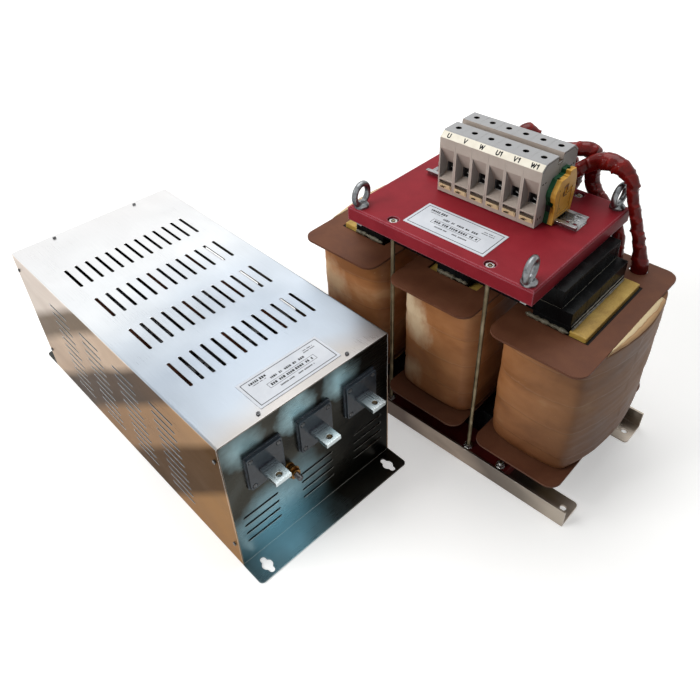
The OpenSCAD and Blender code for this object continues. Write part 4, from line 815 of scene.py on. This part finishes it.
leadShape = {
    "thick": 17, "root": 1.3, "tapePitch": 19, "tapeStep": 1.0, "knotPitch": 7, "knotHeight": 2.5,
    "knotWidth": 1.5, "sides": 36, "ring": 0.9, "steps": 24, "plain": 34, "slimmer": 0.31,
    "holeY": 106, "rise": (252.5, 268, 283), "clampY": (83, 72), "clampZ": 382.6, "inClamp": 25,
}
leadRoutes = {
    # winding's hole, clamp, then points with their thickness as a share
    "lead_u": ((-175.5, -64), [
        (-159.9, 134, 306.5, 1), (-119.8, 152.7, 322.7, 1.05), (-81.8, 143.1, 360, 1.1),
        (-66.2, 122, 382.8, 1.05), (-64, 104.1, 387.1, 1)]),
    "lead_v": ((-18, -39), [
        (-24.1, 125, 310.4, 1), (-31, 131.9, 340.5, 1), (-36.9, 125, 374.6, 1),
        (-39, 106, 387.1, 1)]),
    "lead_w": ((139.5, -14), [
        (130.3, 122, 308, 1.04), (104.2, 131, 330.3, 1.15), (84.2, 131, 348.3, 1.2),
        (75, 131, 368.3, 1.2), (76.6, 127, 390.2, 1.2), (72, 121, 408.1, 1.25),
        (58.1, 112, 410.1, 1.12), (39.7, 107, 406.2, 1.03), (10.6, 104, 404.4, 1.02),
        (-7.9, 101, 416.1, 1.2), (-14, 93.5, 418.5, 1.2), (-14, 86, 400.1, 1.08)]),
    "lead_u1": ((-139.5, 11), [
        (-124.5, 128, 306.4, 1), (-82.3, 138, 326.4, 1), (-35.7, 152.7, 350.3, 1),
        (0.5, 146, 369.7, 1.05), (11, 124, 385.2, 1.05), (11, 106, 387.1, 1)]),
    "lead_v1": ((18, 36), [
        (28.1, 125, 312.4, 1), (46.1, 133, 338.4, 1), (52, 130.9, 362.3, 1.08),
        (46.1, 121, 384.4, 1.05), (38, 106, 387.1, 1)]),
    "lead_w1": ((175.5, 61), [
        (167.9, 107.9, 306.4, 1), (155, 109, 340.5, 0.9), (141.9, 107.9, 375.1, 0.88),
        (137.3, 106.9, 394.1, 0.97), (119, 106.9, 407.1, 1.32), (98, 106, 408.1, 1.36),
        (80, 101, 399.2, 1.15)]),
}


def makeLead(member, ends, route, seed, shape=leadShape):
    hole, clamp = ends
    levels, (mouth, inside), wireZ = shape["rise"], shape["clampY"], shape["clampZ"]
    body = [(hole, shape["holeY"], z, size) for z, size in zip(levels, (1, shape["root"], shape["root"]))]
    dense = smoothRoute([*body, *route, (clamp, mouth, wireZ, 1), (clamp, inside, wireZ, 1)], shape["steps"])
    dense += [[clamp, inside - k, wireZ, 1 - shape["slimmer"] * min(1, k / 7)]
              for k in range(1, shape["inClamp"] + 1)]
    path, radii = [], []
    for i, q in enumerate(dense):
        place = Vector(q[:3])
        if path and (place - path[-1]).length < shape["ring"] and i < len(dense) - 1:
            continue
        path.append(place)
        radii.append(q[3] * shape["thick"] / 2 - shape["tapeStep"] * 0.45)
    maker = random.Random(seed)
    total = sum((b - a).length for a, b in zip(path, path[1:]))
    knots, spot = [], shape["plain"]
    while spot < total - shape["plain"]:
        knots.append((spot, maker.uniform(0, 2 * math.pi), maker.uniform(0.55, 1.0)))
        spot += shape["knotPitch"] * maker.uniform(0.7, 1.3)

    def tapeBump(length, angle):
        turns = length / shape["tapePitch"] + angle / (2 * math.pi)
        frac = (turns + 0.12 * noise.noise(Vector((length * 0.05, seed, 0)))) % 1
        step = shape["tapeStep"] * (frac if frac < 0.88 else (1 - frac) / 0.12 * 0.88)
        roundSpot = Vector((length * 0.16, math.cos(angle) * 1.2, math.sin(angle) * 1.2 + seed))
        step += 0.35 * noise.noise(roundSpot)
        if length < shape["plain"] - 2 or length > total - shape["plain"]:
            return step * 0.5
        for place, turn, size in knots:
            away = length - place
            if abs(away) > shape["knotWidth"] * 2.4:
                continue
            off = (angle - turn + math.pi) % (2 * math.pi) - math.pi
            reach = (away / shape["knotWidth"]) ** 2 + (off * 7 / (2.2 * shape["knotWidth"])) ** 2
            step += shape["knotHeight"] * size * math.exp(-reach)
        return step

    points, faces, ridges = tubeAlong(path, radii, shape["sides"], tapeBump)
    name = member.replace("lead", "tapedLead")
    makePiece(name, points, faces, "leadTape", [member], {"ridgeShade": ridges})


for seed, (member, (ends, route)) in enumerate(leadRoutes.items()):
    makeLead(member, ends, route, seed + 11)
print("leads taped:", len(leadRoutes))


# threaded rods and stud

threadShape = {"sides": 14, "ringsPerTurn": 4, "depth": 0.42, "endRound": 0.8, "endDrop": 0.5}
rodShape = {"x": 74, "y": 104, "diameter": 6, "pitch": 1.0}
studShape = {"from": -9.5, "to": 25, "y": -45, "z": 121, "diameter": 8, "pitch": 1.25}


def threadedRod(base, way, length, diameter, pitch, shape=threadShape):
    way = Vector(way).normalized()
    side = way.orthogonal().normalized()
    other = way.cross(side)
    rings, sides, points = int(length / pitch * shape["ringsPerTurn"]), shape["sides"], []
    for i in range(rings + 1):
        along = length * i / rings
        endShare = max(0, 1 - min(along, length - along) / shape["endRound"])
        for k in range(sides):
            angle = 2 * math.pi * k / sides
            wave = 0.5 + 0.5 * math.cos(2 * math.pi * (along / pitch) - angle)
            r = diameter / 2 - shape["depth"] * (1 - wave) - shape["endDrop"] * endShare
            out = math.cos(angle) * side + math.sin(angle) * other
            points.append((Vector(base) + way * along + r * out) * mm)
    return points, tubeFaces(rings, sides)


def makeRods(rod=rodShape):
    low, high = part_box("tie_rods")
    allPoints, allFaces = [], []
    for x in (-rod["x"], rod["x"]):
        for y in (-rod["y"], rod["y"]):
            points, faces = threadedRod((x, y, low.z / mm), (0, 0, 1), (high.z - low.z) / mm,
                                        rod["diameter"], rod["pitch"])
            start = len(allPoints)
            allPoints += points
            allFaces += [tuple(start + v for v in f) for f in faces]
    makePiece("threadedTieRods", allPoints, allFaces, "passivatedRod", ["tie_rods"])


makeRods()


# the capacitor block's frame

blockTurn = Matrix.Rotation(math.radians(blockShape["turn"]), 4, "Z")
blockPlace = Matrix.Translation(Vector((*blockShape["middle"], 0))) @ blockTurn


def inBlock(x, y, z):
    return blockPlace @ Vector((x, y, z))


def makeStud(stud=studShape):
    start, end = (inBlock(blockShape["half"] + stud[k], stud["y"], stud["z"]) for k in ("from", "to"))
    points, faces = threadedRod(start, end - start, (end - start).length, stud["diameter"], stud["pitch"])
    makePiece("threadedEarthStud", points, faces, "clampSteel", ["earth_stud"])


makeStud()
print("threads cut")


# labels and lettering

labelShape = {
    "choke": (123, 55), "block": (126, 50), "fromEnd": 37,
    "frameInset": 4, "frameWidth": 0.9, "lift": 0.06, "box": (0.56, 0.02, 0.58, 8.9), "boxLine": 0.5,
    # down the label and across it as shares, then length as a share and height
    "rows": [
        (0.2, -0.3, 0.2, 4.2), (0.37, 0.02, 0.42, 3.8), (0.56, 0.02, 0.52, 4.4), (0.74, -0.1, 0.16, 2.4),
        (0.74, 0.14, 0.2, 2.4), (0.2, 0.33, 0.13, 1.6), (0.27, 0.33, 0.15, 1.6), (0.29, -0.3, 0.16, 1.2)],
}


def makeLabelPrint(name, centre, size, turn, shape=labelShape):
    # generic print: a frame, a box and rows of short bars; size is along and across the reading direction
    builder = bmesh.new()
    along, across = size
    spin = Matrix.Rotation(math.radians(turn), 3, "Z")
    lift = Vector((0, 0, shape["lift"] / 2))

    def bar(x, y, w, h):
        place = Vector(centre) + spin @ Vector((x, y, 0)) + lift
        softBox(builder, place, (w, h, shape["lift"]), turn=spin)

    inset, line = shape["frameInset"], shape["frameWidth"]
    for s in (-1, 1):
        bar(0, s * (across / 2 - inset), along - 2 * inset + line, line)
        bar(s * (along / 2 - inset), 0, line, across - 2 * inset - line)
    for drop, x, length, height in shape["rows"]:
        y = across * (0.5 - drop)
        at, right = (x - length / 2) * along, (x + length / 2) * along
        maker = random.Random(int(drop * 100 + x * 10) + 5)
        while at < right - 1:
            word = min(right - at, maker.uniform(5, 13))
            letter = at
            while letter < at + word - 0.8:
                width = maker.uniform(0.5, 0.95) * height * 0.7
                bar(letter + width / 2, y, width, height * maker.uniform(0.8, 1.0))
                letter += width + height * 0.22
            at += word + height * 0.8
    drop, x, length, tall = shape["box"]
    y, line = across * (0.5 - drop), shape["boxLine"]
    for s in (-1, 1):
        bar(x * along, y + s * (tall - line) / 2, along * length, line)
        bar((x + s * length / 2) * along, y, line, tall)
    finishBuilder(builder, name, "printInk")


low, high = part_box("choke_label")
chokeMiddle = ((low.x + high.x) / 2 / mm, (low.y + high.y) / 2 / mm, high.z / mm)
makeLabelPrint("chokeLabelPrint", chokeMiddle, labelShape["choke"], 0)
blockMiddle = inBlock(blockShape["half"] - labelShape["fromEnd"], 0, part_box("block_label")[1].z / mm)
makeLabelPrint("blockLabelPrint", blockMiddle, labelShape["block"], 90 + blockShape["turn"])

markerText = {
    "letters": ["U", "V", "W", "U1", "V1", "W1"], "height": 5.6, "stroke": 1.45, "space": 0.3, "first": -64,
    "pitch": 25, "offset": -0.7, "front": (-9, 430.0), "slope": (7.5, 6.5), "thick": 0.8, "ink": 0.12,
}
letterStrokes = {
    "U": (0.68, [(0, 1), (0, 0.28), (0.1, 0.06), (0.34, 0), (0.58, 0.06), (0.68, 0.28), (0.68, 1)]),
    "V": (0.74, [(0, 1), (0.37, 0), (0.74, 1)]),
    "W": (1.02, [(0, 1), (0.25, 0), (0.51, 0.86), (0.77, 0), (1.02, 1)]),
    "1": (0.3, [(0, 0.74), (0.3, 1), (0.3, 0)]),
}


def makeMarkers(text=markerText):
    run, lean = math.hypot(*text["slope"]), Matrix.Rotation(math.atan2(*reversed(text["slope"])), 3, "X")
    height, space, builder = text["height"], text["space"], bmesh.new()
    for i, letters in enumerate(text["letters"]):
        middle = Vector((text["first"] + i * text["pitch"] + text["offset"], *text["front"]))
        width = (sum(letterStrokes[c][0] for c in letters) + (len(letters) - 1) * space) * height
        at = -width / 2
        for span, line in (letterStrokes[c] for c in letters):
            ends = [Vector((at + x * height, run / 2 + (y - 0.5) * height, text["thick"])) for x, y in line]
            for a, b in zip(ends, ends[1:]):
                turn = Matrix.Rotation(math.atan2(b.y - a.y, b.x - a.x), 3, "Z")
                size = ((b - a).length + text["stroke"] * 0.7, text["stroke"], text["ink"])
                softBox(builder, middle + lean @ ((a + b) / 2), size, turn=lean @ turn)
            at += (span + space) * height
    finishBuilder(builder, "markerLetters", "printInk")


makeMarkers()
print("labels printed")


# varnish and resin that has run out at the joints

def makeResinRun(name, start, end, radius, seed, finish):
    start, end = Vector(start), Vector(end)
    count = max(12, int((end - start).length / 1.2))
    path = [start.lerp(end, i / count) for i in range(count + 1)]
    radii = []
    for i, place in enumerate(path):
        taper = min(1.0, min(i, count - i) / count * 14)
        lump = 1 + 0.7 * noise.noise(Vector((i * 0.23, seed, 0)))
        radii.append(max(0.12, radius * lump * (0.35 + 0.65 * taper)))
        place += Vector([size * noise.noise(Vector((i * step, seed, row)))
                         for size, step, row in ((0.4, 0.12, 5), (0.4, 0.12, 9), (0.7, 0.15, 13))])
    points, faces, _ = tubeAlong(path, radii, 10)
    makePiece(name, points, faces, finish)


resinRuns = {
    # start, end, radius, finish
    "resinSeamRight": ((156.2, -69, 307.1), (156.2, 69, 307.1), 0.35, "jointResin"),
    "resinSeamLeft": ((-156.2, -69, 307.1), (-156.2, 69, 307.1), 0.35, "jointResin"),
    "resinSeamFront": ((-155, -70.1, 307.1), (155, -70.1, 307.1), 0.3, "jointResin"),
    "resinLimbRight": ((112, -71, 278.6), (171, -71, 278.6), 2.6, "jointResin"),
    "resinLimbMiddle": ((-25, -71, 278.6), (25, -71, 278.6), 2.6, "jointResin"),
    "resinLimbLeft": ((-171, -71, 278.6), (-121, -71, 278.6), 2.6, "jointResin"),
    "resinLimbRightRear": ((121, 71, 278.6), (171, 71, 278.6), 2.4, "jointResin"),
    "resinLimbMiddleRear": ((-25, 71, 278.6), (25, 71, 278.6), 2.4, "jointResin"),
    "resinLimbLeftRear": ((-171, 71, 278.6), (-121, 71, 278.6), 2.4, "jointResin"),
}
for side in (-1, 1):
    for k, (off, z, radius) in enumerate(((0.8, 287.2, 0.9), (1.9, 283.4, 0.8), (3.0, 282.3, 0.6))):
        resinRuns["varnishBead" + ("Right" if side > 0 else "Left") + str(k + 1)] = (
            (side * (171 + off), -69, z), (side * (171 + off), 66, z), radius, "clearVarnish")
for seed, (name, (start, end, radius, finish)) in enumerate(resinRuns.items()):
    makeResinRun(name, start, end, radius, seed * 3.1 + 2, finish)
print("resin runs:", len(resinRuns))


# paper cuffs over the outer windings

cuffShape = {"length": 144, "rows": 90, "across": 14, "rise": 4.0, "folds": 2, "foldHeight": 0.7,
             "inner": 65.4, "clear": 0.6, "endTaper": 14, "under": 0.05}


def makeCuff(side, shape=cuffShape, winding=windingShape):
    centre = winding["width"] / 2 + winding["swell"] - winding["swellRadius"]
    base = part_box("coil_right")[1].z / mm
    points, shares, inner = [], [], shape["inner"]
    rows, across, cols = shape["rows"], shape["across"], shape["across"] + 1
    for r in range(rows + 1):
        y = shape["length"] * (r / rows - 0.5)
        swell = math.sqrt(winding["swellRadius"] ** 2 - (y - winding["swellPlace"]) ** 2)
        reach = centre + swell - shape["clear"] + 0.5 * noise.noise(Vector((y * 0.09, side, 3)))
        reach = max(inner + 0.6, reach)
        endTaper = min(1.0, (shape["length"] / 2 - abs(y)) / shape["endTaper"])
        for c in range(cols):
            t = c / across
            x = inner + (reach - inner) * t
            drop = shape["rise"] * (1 - t ** 2.2) * (0.35 + 0.65 * endTaper)
            crease = shape["folds"] * (t + 0.08 * noise.noise(Vector((y * 0.05, 4, side))))
            lift = shape["foldHeight"] * abs(math.sin(math.pi * crease))
            lift += 0.35 * noise.noise(Vector((x * 0.25, y * 0.08, side * 6)))
            lift = min(shape["rise"] - 0.1, max(0.15, drop + lift * (1 - t) ** 0.5))
            points.append(Vector((side * (winding["pitch"] + x), y, base + lift)) * mm)
            shares.append(t)
    top = len(points)
    points += [Vector((p.x, p.y, (base - shape["under"]) * mm)) for p in points]
    faces = []
    for r in range(rows):
        for a in range(r * cols, r * cols + across):
            faces.append((a, a + 1, a + cols + 1, a + cols))
            faces.append((top + a + cols, top + a + cols + 1, top + a + 1, top + a))
        for a, b in ((r * cols + across, (r + 1) * cols + across), ((r + 1) * cols, r * cols)):
            faces.append((a, top + a, top + b, b))
    for c in range(across):
        faces.append((c, top + c, top + c + 1, c + 1))
        a = rows * cols + c
        faces.append((a + 1, top + a + 1, top + a, a))
    if side < 0:
        faces = [f[::-1] for f in faces]
    name = "paperCuff" + ("Right" if side > 0 else "Left")
    return makePiece(name, points, faces, "cuffPaper", marks={"across": shares * 2})


cuffs = [makeCuff(1), makeCuff(-1)]
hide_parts("coil_cuffs")
print("cuffs folded")


# marks on bars, wedges and terminals

scoreShape = {"lines": ((12.5, 0.45), (15.5, 0.35), (16.6, 0.3)), "wide": 22.4, "z": 168.02, "thick": 0.04}


def makeScores(shape=scoreShape):
    builder = bmesh.new()
    for i in (-1, 0, 1):
        for off, width in shape["lines"]:
            place = inBlock(blockShape["half"] + off, i * blockShape["barPitch"], shape["z"])
            softBox(builder, place, (width, shape["wide"], shape["thick"]), turn=blockTurn.to_3x3())
    finishBuilder(builder, "barScores", "printInk")


makeScores()

wedgeShape = {
    "depth": 140, "round": 1.2, "outer": 171.1, "narrower": 2.4, "others": ((117.6, 120.9), (25.1, 39.8)),
    "window": (197.3, 143.6), "gapLevel": 272.6, "gapHeight": 4.2, "front": (79, 1.5, -71.1),
}


def makeWedges(shape=wedgeShape):
    # the bars between the limbs and the windings, the two outer ones a little clear of their windows
    low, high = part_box("limb_wedges")
    bottom, top, far = low.z / mm, high.z / mm, high.x / mm - shape["narrower"]
    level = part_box("coil_left")[1].z / mm
    bars = [(shape["outer"], far, top), *[(*pair, level) for pair in shape["others"]]]
    wedges, gap = bmesh.new(), bmesh.new()
    end, deep = shape["window"]
    wide, thin, front = shape["front"]
    z, tall = shape["gapLevel"], shape["gapHeight"]
    for side in (-1, 1):
        for a, b, upper in bars:
            size = (b - a, shape["depth"], upper - bottom)
            softBox(wedges, (side * (a + b) / 2, 0, (bottom + upper) / 2), size, shape["round"])
        # painted shade: a dark strip in the gap that each outer wedge leaves in its flange
        softBox(gap, (side * (far + end) / 2, 0, z), (end - far - 0.4, deep, tall))
        softBox(gap, (side * windingShape["pitch"], front, z), (wide, thin, tall))
    finishBuilder(wedges, "limbWedgesRounded", "glassFibre", ["limb_wedges"])
    finishBuilder(gap, "windowGapShade", "darkSeamAndPaintedShade")


makeWedges()

# the terminal row, its section across the rail from the rail's top
poleShape = {
    "first": -64, "pitch": 25, "count": 6, "half": 42, "middle": 33, "floor": 352,
    "clamp": (25, 14), "funnel": 15,
    "section": [(42, 78), (34.5, 84.5), (32.5, 86), (6, 86), (6, 76), (-6, 76), (-6, 86), (-32.5, 86),
                (-34.5, 84.5), (-42, 78)],
}
wellShape = {"sides": 28, "radius": 3.94, "top": 85.7, "deep": 7, "apart": 20.0}


def makeDriverWells(shape=poleShape, well=wellShape):
    sides, radius, points, faces = well["sides"], well["radius"], [], []
    for i in range(shape["count"]):
        for side in (-1, 1):
            x, y = shape["first"] + i * shape["pitch"], shape["middle"] + side * well["apart"]
            start = len(points)
            for h in (well["top"], well["top"] - well["deep"]):
                for k in range(sides):
                    angle = 2 * math.pi * k / sides
                    spot = (x + radius * math.cos(angle), y + radius * math.sin(angle), shape["floor"] + h)
                    points.append(Vector(spot) * mm)
            faces += [f[::-1] for f in ringFaces(1, sides, start)]
            faces.append(tuple(range(start + sides, start + 2 * sides)))
    # the wells' dark walls and floor are painted shade
    makePiece("driverWells", points, faces, "darkSeamAndPaintedShade")


makeDriverWells()


def makeTerminalDetails(shape=poleShape):
    lips, slots, ledges, groove, seams = (bmesh.new() for _ in range(5))
    first, pitch, count, middle, floor, half = (shape[k] for k in (
        "first", "pitch", "count", "middle", "floor", "half"))
    z, size = shape["clamp"]
    base, low, catch = floor + z, floor + 9.6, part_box("terminal_feet")
    for i in range(count):
        x = first + i * pitch
        for side in (-1, 1):
            mouth, out = middle + side * (half - shape["funnel"] + 0.35), catch[side > 0].y / mm
            softBox(lips, (x, mouth, base + 0.9), (size - 0.4, 0.5, 1.2), 0.15)
            softBox(lips, (x + size / 2 - 0.9, mouth, base + size / 2), (1.1, 0.5, size - 0.6), 0.15)
            softBox(lips, (x, mouth - side * 5, base + 3.4), (size - 2.5, 1.2, 1.0), 0.2,
                    Matrix.Rotation(0.35, 3, "Y"))
            # painted shade in the catch slots
            softBox(slots, (x - 4, out, low - 0.4), (6.5, 0.12, 1.7))
            softBox(slots, (x + 8.3, out, low + 2.6), (0.5, 0.12, 5))
            # painted shade in the ledge recess under each funnel
            softBox(ledges, (x, middle + side * (half - 1.1), floor + 13.6), (19, 2.4, 4.2), 0.4)
    # painted shade along the groove on top
    softBox(groove, (first + (count - 1) * pitch / 2, middle, floor + 76.3), (count * pitch - 2, 11.6, 0.5))
    # the seam round each end of the row, just inside its outline
    inset = [(y * 0.955, 44 + (h - 44) * 0.945) for y, h in shape["section"]]
    for x in (first - pitch / 2 + 0.1, first + (count - 0.5) * pitch - 0.1):
        for (ya, za), (yb, zb) in zip(inset, inset[1:]):
            softBox(seams, (x, middle + (ya + yb) / 2, floor + (za + zb) / 2),
                    (0.12, math.hypot(yb - ya, zb - za), 0.5),
                    turn=Matrix.Rotation(math.atan2(zb - za, yb - ya), 3, "X"))
        softBox(seams, (x, middle, floor + 56), (0.12, 0.4, 34))
        for y in (-36, -30, 30, 36):
            softBox(seams, (x, middle + y, floor + 60), (0.12, 3.2, 1.6))
            softBox(seams, (x, middle + y, floor + 12), (0.12, 2.2, 3.4))
    for builder, name, finish, slotName in (
            (lips, "clampLips", "platedSteel", "plated_steel"),
            (slots, "catchSlotShade", "darkSeamAndPaintedShade", "terminal_foot"),
            (ledges, "ledgeShadePatches", "ledgeShade", "terminal_plastic"),
            (groove, "grooveShade", "ledgeShade", "terminal_plastic"),
            (seams, "endSeams", "darkSeamAndPaintedShade", "terminal_plastic")):
        finishBuilder(builder, name, finish)


makeTerminalDetails()

earthDetail = {
    # rims and lines are painted shade along the yellow face's recess and T-slot; pockets are dark dots of
    # painted shade
    # along the rail's width, up from its top, then wide and tall
    "rims": [(1, 47.6, 12, 2.2), (-2.6, 41, 2.4, 13), (5.2, 44, 1.6, 7), (1, 34.6, 7.4, 1.2)],
    "lines": [(2, 11.6, 26, 0.7), (-12.6, 27, 0.7, 30), (16.4, 24, 0.7, 24), (10, 36.6, 12, 0.7)],
    "pockets": [(-15, 47), (-9, 20), (13, 20), (17, 41)], "ridges": 6,
}


def makeEarthDetails(look=earthDetail, middle=poleShape["middle"], floor=poleShape["floor"]):
    low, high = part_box("earth_terminal_yellow")
    outer, green = high.x / mm, [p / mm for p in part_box("earth_terminal_green")]
    shade, pockets, ridges = (bmesh.new() for _ in range(3))
    for y, z, wide, tall in look["rims"]:
        softBox(shade, (outer - 0.2, middle + y, floor + z), (0.5, wide, tall), 0.2)
    for y, z, wide, tall in look["lines"]:
        softBox(shade, (outer + 0.02, middle + y, floor + z), (0.16, wide, tall))
    for y, z in look["pockets"]:
        softBox(pockets, (outer + 0.02, middle + y, floor + z), (0.14, 0.9, 2.6))
    # painted shade in the wire hole on the front
    softBox(pockets, (green[1].x - 0.5, green[0].y - 0.02, floor + 25), (6, 0.3, 8.5))
    for k in range(look["ridges"]):
        place = (green[0].x + 3.4, middle - 23.4 + k * 1.7, floor + 44 + k * 1.5)
        softBox(ridges, place, (5.6, 0.9, 1.1), 0.15, Matrix.Rotation(0.7, 3, "X"))
    finishBuilder(shade, "earthRecess", "earthShade")
    finishBuilder(pockets, "earthHoleShade", "darkSeamAndPaintedShade")
    finishBuilder(ridges, "earthRidges", "earthGreen")


makeEarthDetails()


holeThread = {"x": 297.5, "sides": 20, "turns": 4, "rings": 22, "radius": 3.95, "depth": 0.45, "z": 162.3,
              "rise": 5.4}


def makeHoleThreads(shape=holeThread):
    # tapped holes in the three terminal bars
    sides, rings = shape["sides"], shape["rings"]
    points, faces = [], []
    for i in (-1, 0, 1):
        start, centre = len(points), inBlock(shape["x"], i * blockShape["barPitch"], 0)
        for r in range(rings + 1):
            z = shape["z"] + shape["rise"] * r / rings
            for k in range(sides):
                angle = 2 * math.pi * k / sides
                wave = 0.5 + 0.5 * math.cos(2 * math.pi * shape["turns"] * r / rings - angle)
                radius = shape["radius"] - shape["depth"] * wave
                spot = (centre.x + radius * math.cos(angle), centre.y + radius * math.sin(angle), z)
                points.append(Vector(spot) * mm)
        faces += [f[::-1] for f in ringFaces(rings, sides, start)]
    makePiece("barThreads", points, faces, "passivatedRod")


makeHoleThreads()
print("marks made")


# floor, light and world

stageLook = {
    "floor": (236, 236, 234), "lift": 0.38, "world": 0.18,
    # in metres
    "size": 9.0, "level": -0.0003, "middle": (-0.18, -0.14, 0), "clear": (0.75, 1.7),
}


def makeFloor(look=stageLook):
    # the floor fades to plain white away from the part, for the camera and for reflections
    material, tree, shader = startMaterial("paleFloor", 0.0, 0.85, 0.1)
    colour = ramp(tree, cloud(tree, placeIn(tree), 240, 3), [(0.3, [v - 3 for v in look["floor"]]),
                                                             (0.7, look["floor"])])
    wire(tree, colour, shader, "Base Color")
    away = compare(tree, pointOf(tree), look["middle"], "DISTANCE")
    ray = add(tree, "LightPath").outputs
    seen = calculate(tree, "MAXIMUM", ray["Is Camera Ray"], ray["Is Glossy Ray"])
    shader.inputs["Emission Color"].default_value = (1, 1, 1, 1)
    wire(tree, times(tree, seen, spread(tree, away, *look["clear"], (look["lift"], 1.0))), shader,
         "Emission Strength")
    half = look["size"] / 2
    mesh = bpy.data.meshes.new("floor")
    mesh.from_pydata([(x * half, y * half, look["level"]) for x, y in ((-1, -1), (1, -1), (1, 1), (-1, 1))],
                     [], [(0, 1, 2, 3)])
    mesh.materials.append(material)
    floor = bpy.data.objects.new("floor", mesh)
    scene.collection.objects.link(floor)


lamps = {
    # place, aim, size, power, and whether the sheet metal mirrors it
    "overheadPanel": ((-350, 350, 1900), (-80, -60, 100), 1.5, 25, True),
    "leftPanel": ((-1000, -1500, 1200), (-100, -150, 150), 1.2, 29, False),
    "sparkPanel": ((-500, -1400, 1500), (0, 0, 300), 0.12, 2, True),
    "rightPanel": ((1500, -300, 1500), (0, 0, 150), 1.2, 0.6, False),
}


def makeLamps():
    for name, (place, aim, size, power, mirrored) in lamps.items():
        data = bpy.data.lights.new(name, "AREA")
        data.shape, data.size, data.energy = "SQUARE", size, power
        lamp = bpy.data.objects.new(name, data)
        scene.collection.objects.link(lamp)
        lamp.visible_glossy = mirrored
        place, aim = Vector(place) * mm, Vector(aim) * mm
        turn = (aim - place).to_track_quat("-Z", "Y").to_matrix().to_4x4()
        lamp.matrix_world = Matrix.Translation(place) @ turn


def makeWorld(look=stageLook):
    world = bpy.data.worlds.new("studio")
    scene.world = world
    world.use_nodes = True
    tree = world.node_tree
    tree.nodes.clear()
    ray = add(tree, "LightPath").outputs
    seen = calculate(tree, "MAXIMUM", ray["Is Glossy Ray"], ray["Is Transmission Ray"])
    seen = calculate(tree, "MAXIMUM", ray["Is Camera Ray"], seen)
    strength = spread(tree, seen, 0, 1, (look["world"], 1.0))
    shine = add(tree, "Background", {"Color": (1, 1, 1, 1), "Strength": strength})
    out = add(tree, "OutputWorld")
    tree.links.new(shine.outputs["Background"], out.inputs["Surface"])


makeFloor()
makeLamps()
makeWorld()
scene.view_settings.view_transform = "Standard"
print("stage lit")
